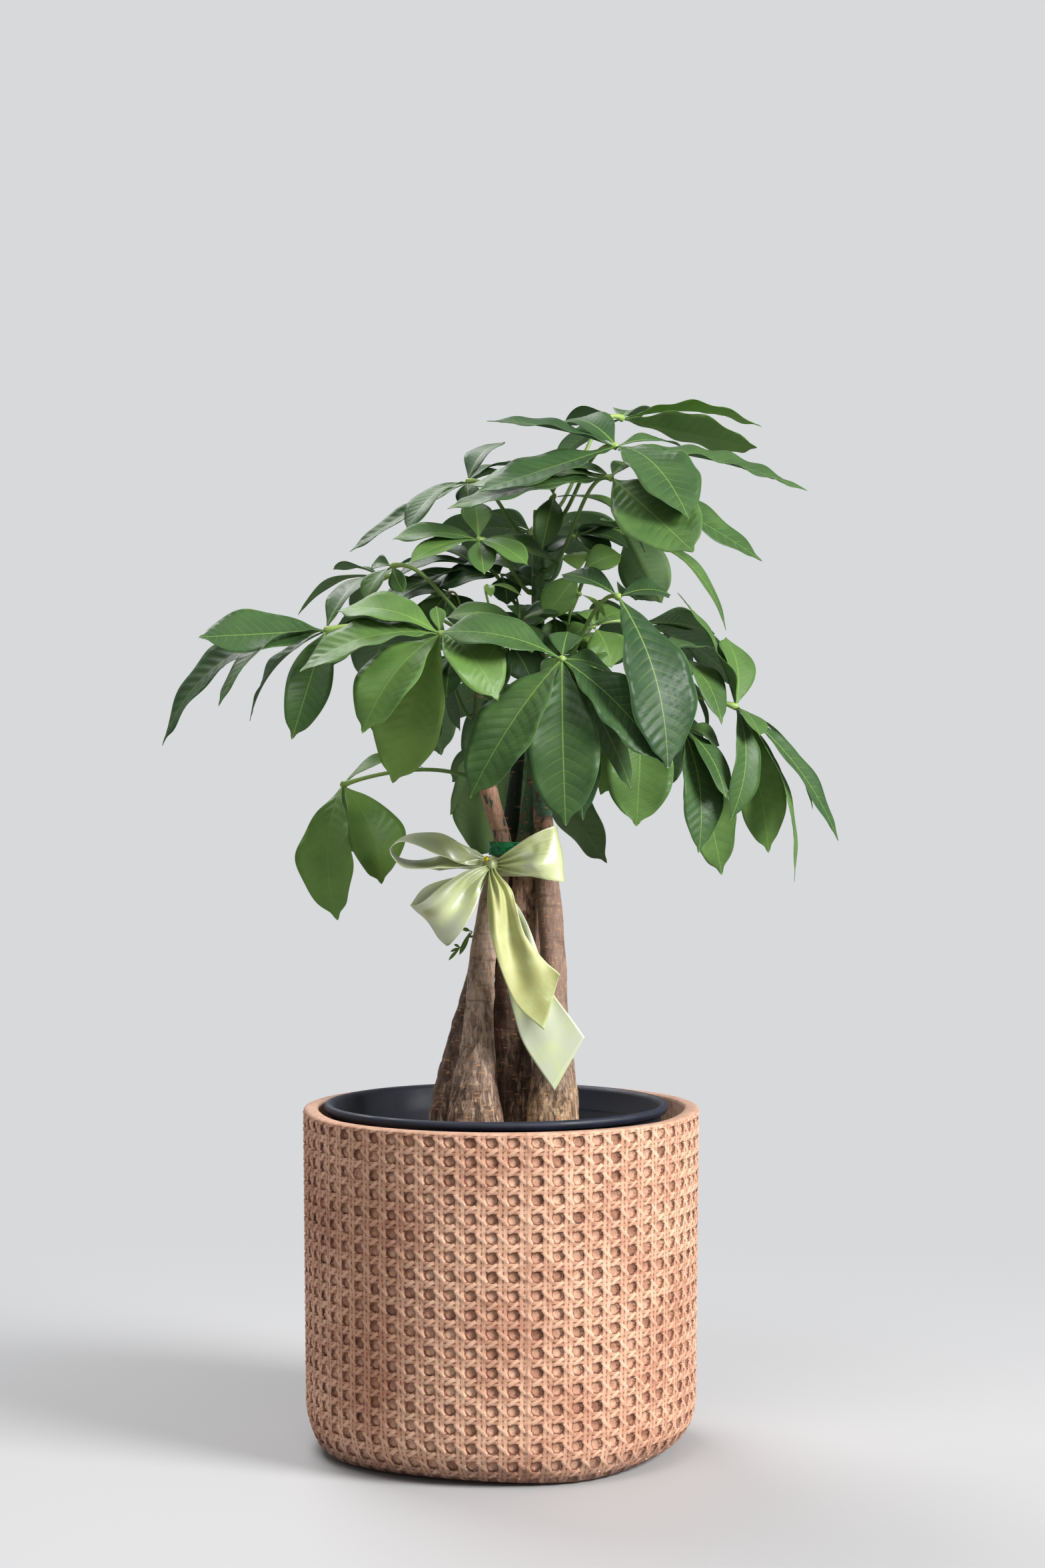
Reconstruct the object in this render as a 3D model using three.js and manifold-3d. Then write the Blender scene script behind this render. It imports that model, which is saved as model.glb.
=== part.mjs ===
// A potted money tree: five tied trunks in a nursery pot, which stands in a cast pot with a cane-weave face.
// Millimetres, +Z up. The origin is the middle of the cast pot's underside, and the front looks along -Y.
import * as THREE from "three";
import { mergeVertices } from "three/addons/utils/BufferGeometryUtils.js";
import Module from "manifold-3d";

const wasm = await Module();
wasm.setup();

// Driving dimensions of the cast pot
const POT_HEIGHT = 217.5;
const POT_RADIUS_TOP = 127.5;
const POT_RADIUS_LOW = 125.4;
const POT_WALL = 10;
const POT_FLOOR = 12;
const POT_LIP = 3;
const FOOT_HALF_SIDE = 97;
const FOOT_SQUARENESS = 3.4;
const FOOT_TURN_DEG = 25;
const FOOT_BLEND_HEIGHT = 32;
const WEAVE_COLUMNS = 46;
const WEAVE_COLUMN_DEG = 7.81;
const WEAVE_SEAM_DEG = 7.5;
const WEAVE_ROWS = 12;
const WEAVE_ROW_PITCH = 17.25;
const WEAVE_TOP = 214.3;
const WEAVE_DEPTH = 3.2;
const FOOT_EDGE_Z = 2;

// Driving dimensions of the nursery pot, which stands a little left of the cast pot's axis
const NURSERY_X = -3;
const NURSERY_BASE_Z = POT_FLOOR + 0.3;
const NURSERY_TOP_Z = 220;
const NURSERY_RIM_RADIUS = 111;
const NURSERY_RIM_WIDTH = 6.5;
const NURSERY_RIM_HEIGHT = 6;
const NURSERY_BASE_RADIUS = 86;
const NURSERY_WALL = 1.6;
const NURSERY_STEP = 16;
const NURSERY_SIDES = 20;
const DRAIN_HOLES = 4;
const DRAIN_RADIUS = 6;
const DRAIN_RING_RADIUS = 62;

// Potting mix
const SOIL_EDGE_Z = 189;
const SOIL_CROWN_Z = 204;
const SOIL_GAP = 0.4;

// Ties
const TAPE_Z = [379, 387.5];
const TAPE_THICKNESS = 1.2;
const WRAP_Z = [365.5, 377.5];
const WRAP_THICKNESS = 1.4;
const TIE_CLEARANCE = 0.4;
const TIE_SIDES = 16;
const RIBBON_THICKNESS = 0.8;
const SEAT_GAP = 0.3;

// Foliage
const BLADE_THICKNESS = 0.7;
const RIB_THICKNESS = 1.5;
const FOLD = 0.22;
const PETIOLE_RADIUS = 1.5;
const PETIOLE_SIDES = 4;
const PETIOLE_STEPS = 3;
const HUB_RADIUS = 3.3;
const CLEARANCE = 0.7;
const JOINT_GAP = 0.6;

const degrees = THREE.MathUtils.degToRad;
const lerp = THREE.MathUtils.lerp;
const point = (p) => new THREE.Vector3(p[0], p[1], p[2]);

// Materials
const finish = (colour, roughness, metalness = 0) =>
  new THREE.MeshStandardMaterial({ color: colour, roughness, metalness });
const CAST_POT = finish(0xc9987a, 0.95);
const NURSERY_PLASTIC = finish(0x23262f, 0.45);
const POTTING_MIX = finish(0x4a3426, 1);
const BARK = finish(0x82634f, 0.9);
const TAPE = finish(0x0e6b3a, 0.3);
const SATIN = finish(0xc7d29b, 0.4);
const GOLD = finish(0xd9b21f, 0.25, 1);
const LEAF = finish(0x3f6a32, 0.45);
const YOUNG_LEAF = finish(0x5f9a35, 0.5);

// A closed body from corner points and triangles: shared corners are merged and empty triangles dropped.
function body(points, triangles) {
  const loose = new THREE.BufferGeometry();
  loose.setAttribute("position", new THREE.Float32BufferAttribute(points.flatMap((p) => p.toArray()), 3));
  loose.setIndex(triangles.flat());
  const merged = mergeVertices(loose, 1e-3);
  const kept = [];
  const index = merged.index.array;
  for (let i = 0; i < index.length; i += 3) {
    const [a, b, c] = [index[i], index[i + 1], index[i + 2]];
    if (a !== b && b !== c && a !== c) kept.push(a, b, c);
  }
  merged.setIndex(kept);
  return merged;
}

// The skin over rings of equal count. Quads whose side is in `turned` are split along the other diagonal,
// so that the two faces of a thin blade are split alike. `caps` closes the ends, otherwise last meets first.
// `pits` are rings of points, one in each quad from ring `pitsFrom` on, at which the quad meets as a pit.
function loft(rings, { turned = [], caps = true, pits = [], pitsFrom = 0 } = {}) {
  const count = rings[0].length;
  const triangles = [];
  const spans = caps ? rings.length - 1 : rings.length;
  for (let i = 0; i < spans; i++) {
    const here = i * count;
    const next = ((i + 1) % rings.length) * count;
    for (let j = 0; j < count; j++) {
      const k = (j + 1) % count;
      const row = i - pitsFrom;
      if (pits[row]) {
        const corners = [here + j, here + k, next + k, next + j];
        const pit = (rings.length + row) * count + j;
        corners.forEach((corner, n) => triangles.push([corner, corners[(n + 1) % 4], pit]));
      } else if (turned.includes(j)) triangles.push([here + j, here + k, next + j], [here + k, next + k, next + j]);
      else triangles.push([here + j, here + k, next + k], [here + j, next + k, next + j]);
    }
  }
  const last = (rings.length - 1) * count;
  if (caps)
    for (let j = 1; j < count - 1; j++) {
      triangles.push([0, j + 1, j]);
      triangles.push([last, last + j, last + j + 1]);
    }
  return body([...rings, ...pits].flat(), triangles);
}

function solid(geometry) {
  const plain = geometry.clone();
  plain.deleteAttribute("normal");
  plain.deleteAttribute("uv");
  const merged = mergeVertices(plain, 1e-3);
  return new wasm.Manifold(
    new wasm.Mesh({
      numProp: 3,
      vertProperties: merged.attributes.position.array,
      triVerts: new Uint32Array(merged.index.array),
    }),
  );
}

function geometryOf(made) {
  const mesh = made.getMesh();
  const geometry = new THREE.BufferGeometry();
  geometry.setAttribute("position", new THREE.BufferAttribute(mesh.vertProperties, 3));
  geometry.setIndex(new THREE.BufferAttribute(mesh.triVerts, 1));
  return geometry;
}

// The biggest body of a result, without the scraps that a cut leaves.
function largest(made) {
  return made.decompose().reduce((best, shell) => (shell.volume() > best.volume() ? shell : best));
}

const plant = new THREE.Group();

function place(name, geometry, material) {
  const mesh = new THREE.Mesh(geometry, material);
  mesh.name = name;
  plant.add(mesh);
  return mesh;
}

// The foot is a rounded square with a corner to the right of the front, and the wall above it is round.
function footRadius(angle) {
  const turned = angle + Math.PI / 4 + Math.PI / 2 - degrees(FOOT_TURN_DEG);
  const c = Math.abs(Math.cos(turned)) ** FOOT_SQUARENESS;
  const s = Math.abs(Math.sin(turned)) ** FOOT_SQUARENESS;
  return FOOT_HALF_SIDE / (c + s) ** (1 / FOOT_SQUARENESS);
}

function potRadius(angle, z) {
  const wall = lerp(POT_RADIUS_LOW, POT_RADIUS_TOP, z / POT_HEIGHT);
  if (z >= FOOT_BLEND_HEIGHT) return wall;
  const rise = 1 - z / FOOT_BLEND_HEIGHT;
  return lerp(footRadius(angle), wall, Math.sqrt(1 - rise * rise));
}

// Cast pot: a pit stands for each two holes of the weave, which has 61 a row in 18 rows, and its corners are on
// the wall. The columns start at the seam of the webbing, right of the front, and the pit that closes the round
// is a little wider.
function castPot() {
  const ring = (z, radius, columns = 0) =>
    Array.from({ length: WEAVE_COLUMNS }, (_, i) => {
      const angle = degrees(WEAVE_SEAM_DEG - 90 + (i + columns) * WEAVE_COLUMN_DEG);
      const r = radius(angle);
      return new THREE.Vector3(r * Math.cos(angle), r * Math.sin(angle), z);
    });
  const inner = POT_RADIUS_TOP - POT_WALL;
  const low = WEAVE_TOP - WEAVE_ROWS * WEAVE_ROW_PITCH;
  const wall = Array.from({ length: WEAVE_ROWS + 1 }, (_, row) => {
    const z = low + row * WEAVE_ROW_PITCH;
    return ring(z, (angle) => potRadius(angle, z));
  });
  const below = [ring(0, footRadius), ring(FOOT_EDGE_Z, (angle) => potRadius(angle, FOOT_EDGE_Z))];
  const above = [
    ring(POT_HEIGHT, () => POT_RADIUS_TOP - POT_LIP),
    ring(POT_HEIGHT, () => inner),
    ring(POT_FLOOR + 20, () => inner - 3),
    ring(POT_FLOOR, (angle) => Math.min(footRadius(angle) - 4, inner - 22)),
  ];
  const pits = Array.from({ length: WEAVE_ROWS }, (_, row) => {
    const z = low + (row + 0.5) * WEAVE_ROW_PITCH;
    return ring(z, (angle) => potRadius(angle, z) - WEAVE_DEPTH, 0.5);
  });
  return loft([...below, ...wall, ...above], { pits, pitsFrom: below.length });
}

// Nursery pot: a thin tapered wall with a rolled rim, a step under it and drain holes in its floor.
function nurseryPot() {
  const rim = NURSERY_RIM_RADIUS;
  const wallTop = rim - NURSERY_RIM_WIDTH + NURSERY_WALL;
  const z = NURSERY_TOP_Z;
  const profile = [
    [0, NURSERY_BASE_Z],
    [NURSERY_BASE_RADIUS - 3, NURSERY_BASE_Z],
    [NURSERY_BASE_RADIUS, NURSERY_BASE_Z + 3],
    [wallTop - 3, z - NURSERY_STEP - 2],
    [wallTop, z - NURSERY_STEP],
    [wallTop, z - NURSERY_RIM_HEIGHT],
    [rim - 0.6, z - NURSERY_RIM_HEIGHT],
    [rim, z - 2.4],
    [rim - 3.2, z],
    [wallTop - NURSERY_WALL, z - 3],
    [wallTop - NURSERY_WALL, z - NURSERY_STEP + 0.6],
    [wallTop - 3 - NURSERY_WALL, z - NURSERY_STEP - 1.4],
    [NURSERY_BASE_RADIUS - NURSERY_WALL - 1, NURSERY_BASE_Z + NURSERY_WALL],
    [0, NURSERY_BASE_Z + NURSERY_WALL],
  ].map(([r, height]) => new THREE.Vector2(r, height));
  const turned = new THREE.LatheGeometry(profile, NURSERY_SIDES);
  turned.rotateX(Math.PI / 2);
  let made = solid(turned);
  for (let i = 0; i < DRAIN_HOLES; i++) {
    const angle = (i / DRAIN_HOLES) * Math.PI * 2;
    const drill = new THREE.CylinderGeometry(DRAIN_RADIUS, DRAIN_RADIUS, 6, 8);
    drill.rotateX(Math.PI / 2);
    drill.translate(
      DRAIN_RING_RADIUS * Math.cos(angle),
      DRAIN_RING_RADIUS * Math.sin(angle),
      NURSERY_BASE_Z + NURSERY_WALL / 2,
    );
    made = made.subtract(solid(drill));
  }
  const geometry = geometryOf(made);
  geometry.translate(NURSERY_X, 0, 0);
  return geometry;
}

// Rings round a route: directions are carried along it without twist.
function ringsAlong(points, radii, sides, grow = 0, lobes = 0) {
  const rings = [];
  let side = null;
  for (let i = 0; i < points.length; i++) {
    const before = points[Math.max(i - 1, 0)];
    const after = points[Math.min(i + 1, points.length - 1)];
    const along = after.clone().sub(before).normalize();
    if (!side) side = new THREE.Vector3(1, 0.01, 0.02);
    side.addScaledVector(along, -side.dot(along)).normalize();
    const across = along.clone().cross(side);
    const ring = [];
    for (let j = 0; j < sides; j++) {
      const angle = (j / sides) * Math.PI * 2;
      const lobe = 1 + lobes * Math.sin(3 * angle + points[i].z * 0.045);
      const r = radii[i] * lobe + grow;
      ring.push(
        points[i]
          .clone()
          .addScaledVector(side, r * Math.cos(angle))
          .addScaledVector(across, r * Math.sin(angle)),
      );
    }
    rings.push(ring);
  }
  return rings;
}

// Trunks: x, y, z and radius at each level, from the buried foot to the end of the green shoot.
const TRUNKS = {
  trunk_front_left: [
    [-18, -38, 140, 15],
    [-16, -35, 188, 18.6],
    [-16, -34, 210, 18.2],
    [-16, -31, 233, 14.6],
    [-14.5, -27, 260, 10.8],
    [-13.6, -22, 284, 9.4],
    [-12, -17, 312, 8.6],
    [-7, -12, 344, 8.1],
    [-1.5, -9, 368, 7.3],
    [1, -9, 388, 5.6],
    [-4, -9.5, 406, 5.5],
    [-9, -10, 424, 5.9],
    [-10.5, -11, 434, 5],
    [-15, -12, 452, 3.5],
    [-14.8, -12, 474, 3.2],
    [-12, -12, 504, 2.8],
    [-10.5, -12, 532, 2.3],
  ],
  trunk_right: [
    [35, -32, 140, 14],
    [33, -28, 190, 17.2],
    [33, -28, 208, 16.8],
    [34, -25, 230, 15.4],
    [34, -21, 252, 12.4],
    [33.5, -17, 282, 9.4],
    [33, -13, 318, 8.2],
    [31, -9, 346, 7.9],
    [29.6, -7, 368, 7.1],
    [28.6, -6, 388, 6.6],
    [27, -6, 404, 6.2],
    [26, -7, 426, 4.9],
    [27, -9, 450, 4],
    [31, -11, 480, 3.4],
    [35, -12, 506, 2.6],
  ],
  trunk_centre: [
    [9, 8, 140, 17],
    [9, 5, 190, 20],
    [9, 5, 207, 19.2],
    [8.5, 4, 226, 16],
    [7.2, 3, 248, 13.4],
    [7.2, 2, 282, 11.9],
    [10.8, 2, 320, 10.3],
    [15, 2, 350, 8.4],
    [15, 2, 370, 7.2],
    [16, 3, 392, 5.6],
    [19, 5, 413, 4.9],
    [22, 6, 436, 4.7],
    [24, 4, 470, 4.4],
    [24, 2, 520, 4.2],
    [24, 0, 560, 4.2],
    [24.5, 0, 601, 3.9],
  ],
  trunk_back_left: [
    [-34, 7, 140, 14],
    [-31.5, 3, 188, 16.8],
    [-30.5, 3, 208, 16.2],
    [-27, 3, 235, 14.2],
    [-23.6, 4, 254, 12.2],
    [-17, 6, 285, 9.8],
    [-10, 9, 315, 8.7],
    [-2, 12, 346, 8],
    [3, 13, 370, 7],
    [6, 12.5, 392, 5.6],
    [7.6, 12, 410, 4.9],
    [10, 13, 432, 4.1],
    [12.5, 14, 457, 3.5],
  ],
  trunk_back: [
    [27, 48, 140, 14],
    [24, 44, 190, 16.6],
    [24, 43, 206, 16],
    [23, 38, 235, 13.2],
    [22, 31, 270, 10.4],
    [22, 25, 310, 9],
    [24, 20, 345, 8],
    [26, 17, 370, 7.1],
    [27, 18, 392, 6],
    [26, 22, 425, 4.8],
    [20, 28, 460, 4],
    [14, 32, 490, 3.4],
    [10, 34, 516, 2.6],
  ],
};
const TRUNK_SIDES = 9;
const TRUNK_LOBES = 0.035;

function trunkRings(levels, grow = 0) {
  const points = levels.map((level) => point(level));
  const radii = levels.map((level) => level[3]);
  return ringsAlong(points, radii, TRUNK_SIDES, grow, TRUNK_LOBES);
}

// The axis point and radius of a trunk at a height.
function trunkAt(name, z) {
  const levels = TRUNKS[name];
  let i = 1;
  while (i < levels.length - 1 && levels[i][2] < z) i++;
  const [low, high] = [levels[i - 1], levels[i]];
  const share = THREE.MathUtils.clamp((z - low[2]) / (high[2] - low[2]), 0, 1);
  const [x, y, , radius] = low.map((value, k) => lerp(value, high[k], share));
  return { centre: new THREE.Vector3(x, y, z), radius };
}

// Potting mix: a mound inside the nursery pot with a plain hole for each trunk.
function pottingMix() {
  const sides = 20;
  const rings = [];
  const wallTop = NURSERY_RIM_RADIUS - NURSERY_RIM_WIDTH - 3;
  const share = (SOIL_EDGE_Z - NURSERY_BASE_Z) / (NURSERY_TOP_Z - NURSERY_STEP - 2 - NURSERY_BASE_Z);
  const edge = lerp(NURSERY_BASE_RADIUS, wallTop, share) - NURSERY_WALL - 2.4;
  const base = NURSERY_BASE_RADIUS - NURSERY_WALL - 2.6;
  const levels = [
    [base, NURSERY_BASE_Z + NURSERY_WALL + SOIL_GAP],
    [edge, SOIL_EDGE_Z],
    [edge * 0.6, lerp(SOIL_EDGE_Z, SOIL_CROWN_Z, 0.75)],
    [edge * 0.2, SOIL_CROWN_Z],
  ];
  levels.forEach(([radius, z], level) => {
    const ring = [];
    for (let i = 0; i < sides; i++) {
      const angle = (i / sides) * Math.PI * 2;
      const heave = level < 2 ? 0 : 1.6 * Math.sin(angle * 5 + level * 2) + 1.1 * Math.cos(angle * 9 - level);
      ring.push(new THREE.Vector3(NURSERY_X + radius * Math.cos(angle), radius * Math.sin(angle), z + heave));
    }
    rings.push(ring);
  });
  let made = solid(loft(rings));
  for (const levels of Object.values(TRUNKS)) made = made.subtract(solid(loft(trunkRings(levels, SOIL_GAP))));
  return geometryOf(made);
}

// A band pulled tight round the five stems: its outline is the hull of their round sections.
function band([low, high], offset, thickness) {
  const circles = Object.keys(TRUNKS).flatMap((name) => [trunkAt(name, low), trunkAt(name, high)]);
  const outline = (grow) =>
    Array.from({ length: TIE_SIDES }, (_, i) => {
      const angle = (i / TIE_SIDES) * Math.PI * 2;
      const out = new THREE.Vector2(Math.cos(angle), Math.sin(angle));
      const reach = (c) => c.centre.x * out.x + c.centre.y * out.y + c.radius * (1 + TRUNK_LOBES);
      const far = circles.reduce((best, c) => (reach(c) > reach(best) ? c : best));
      const r = far.radius * (1 + TRUNK_LOBES) + grow;
      return new THREE.Vector2(far.centre.x + r * out.x, far.centre.y + r * out.y);
    });
  const ring = (grow, z) => outline(grow).map((p) => new THREE.Vector3(p.x, p.y, z));
  const outer = offset + thickness;
  return loft([ring(outer, low), ring(outer, high), ring(offset, high), ring(offset, low)], { caps: false });
}

// A strip of ribbon through pairs of edge points.
function strip(sections, thickness) {
  const rings = sections.map(([leftEdge, rightEdge], i) => {
    const left = point(leftEdge);
    const right = point(rightEdge);
    const before = sections[Math.max(i - 1, 0)];
    const after = sections[Math.min(i + 1, sections.length - 1)];
    const along = point(after[0]).add(point(after[1])).sub(point(before[0])).sub(point(before[1]));
    const out = right.clone().sub(left).cross(along).normalize();
    const middle = left.clone().add(right).multiplyScalar(0.5);
    const lift = (p, side) => p.clone().addScaledVector(out, (side * thickness) / 2);
    return [lift(left, 1), lift(middle, 1), lift(right, 1), lift(right, -1), lift(middle, -1), lift(left, -1)];
  });
  return loft(rings, { turned: [3, 4] });
}

// Bow and tails: left and right edge of the ribbon at each section.
const RIBBON = {
  ribbon_loop_right: [
    [[-5, -30, 375.5], [-5, -30, 372]],
    [[-1, -32, 377], [-1, -32, 371]],
    [[8, -42, 384], [12, -42, 368]],
    [[21, -47, 393], [26, -48, 365]],
    [[33, -43, 398], [38, -44, 363]],
    [[36, -37, 397], [41, -37, 363]],
    [[33, -31, 396], [38, -31, 363]],
    [[20, -27, 391], [24, -27, 365]],
    [[7, -27, 382], [9, -27, 369]],
    [[1, -28, 377], [1, -28, 372]],
    [[-4, -26, 375.5], [-4, -26, 372.5]],
  ],
  ribbon_loop_upper_left: [
    [[-6, -25, 377], [-6, -29, 375]],
    [[-11, -25, 378], [-11, -31, 375]],
    [[-21.5, -21, 387], [-25, -42, 376]],
    [[-38, -19, 393], [-38.5, -52, 380]],
    [[-55, -18, 393], [-51.7, -54, 386]],
    [[-64, -17, 390], [-62, -54, 388.5]],
    [[-69, -17, 385], [-69, -54, 384]],
    [[-67, -17, 379], [-66, -54, 377]],
    [[-58.5, -18, 376], [-59, -54, 372]],
    [[-42.5, -21, 376], [-42.5, -50, 370]],
    [[-25.7, -24, 375], [-25.7, -37, 371]],
    [[-11, -26, 373.5], [-11, -32, 371.5]],
    [[-6, -26, 373], [-6, -30, 371.5]],
  ],
  ribbon_loop_lower_left: [
    [[-8, -31, 373], [-6, -31, 370.5]],
    [[-11, -37, 373], [-8, -37, 369]],
    [[-21.5, -46, 370], [-11.4, -43, 361]],
    [[-36, -50, 361], [-15, -47, 350]],
    [[-48.4, -49, 351], [-22.7, -47, 335]],
    [[-55, -43, 348.5], [-31.6, -42, 323.7]],
    [[-55.5, -36, 350], [-34, -36, 325]],
    [[-46.7, -31, 360], [-21.5, -30, 339]],
    [[-24, -30, 367], [-13, -29, 357]],
    [[-11, -30, 369], [-8, -30, 366]],
    [[-7, -27, 371], [-5, -27, 369.5]],
  ],
  ribbon_tail_front: [
    [[-7.5, -31, 370.5], [-3, -31, 371.5]],
    [[-8, -38, 367], [-2, -38, 369]],
    [[-8.4, -46, 356], [6.7, -45, 359]],
    [[-8, -50, 344.5], [10.4, -49, 345.3]],
    [[-6.3, -53, 330.3], [15, -52, 330.3]],
    [[-1.3, -56, 313], [23.9, -55, 318.5]],
    [[5, -58, 297], [30, -57, 312]],
    [[12, -60, 284.6], [34, -58, 308.9]],
    [[27.2, -61, 271.2], [37, -59, 306]],
  ],
  ribbon_tail_back: [
    [[-7, -27, 369.5], [-3, -27, 370.5]],
    [[-6.5, -33, 365], [-1.5, -33, 366.5]],
    [[-3, -38, 340], [14, -37, 342]],
    [[0, -41, 318], [23, -40, 320]],
    [[3.2, -44, 302.3], [29, -44, 302]],
    [[8.8, -48, 278.7], [33, -47, 293]],
    [[15.5, -52, 260], [44.5, -50, 277.5]],
    [[33.7, -55, 232.5], [52.7, -52, 266]],
  ],
};

const KNOT = [-5.5, -27, 373.5];
const KNOT_RADII = [5, 9.5, 5.6];
const BEAD = [-8.9, -34.7, 377.3];
const BEAD_RADIUS = 1.7;

// The young shoot low on the front left trunk: twig ends and blades as root, tip, width and the side it faces.
const SHOOT_TRUNK = "trunk_front_left";
const SHOOT_ROOT_Z = 327;
const SHOOT_FORK = [-19.5, -14, 330.5];
const SHOOT_END = [-26, -14, 319.8];
const SHOOT_TWIG_RADIUS = 0.7;
const SHOOT_BLADES = [
  { root: SHOOT_FORK, leaflet: [-5.5, -1, 1.4, 2.6, 0.4] },
  { root: SHOOT_FORK, leaflet: [-7.2, -3, -15.5, 3.2, 0.8] },
  { root: SHOOT_END, leaflet: [-4, 1, 2.2, 1.8, 0.3] },
  { root: SHOOT_END, leaflet: [-6.4, 0, -2.6, 1.8, 0.4] },
  { root: SHOOT_END, leaflet: [-7.6, -1, -8.2, 2, 0.4] },
];

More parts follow.
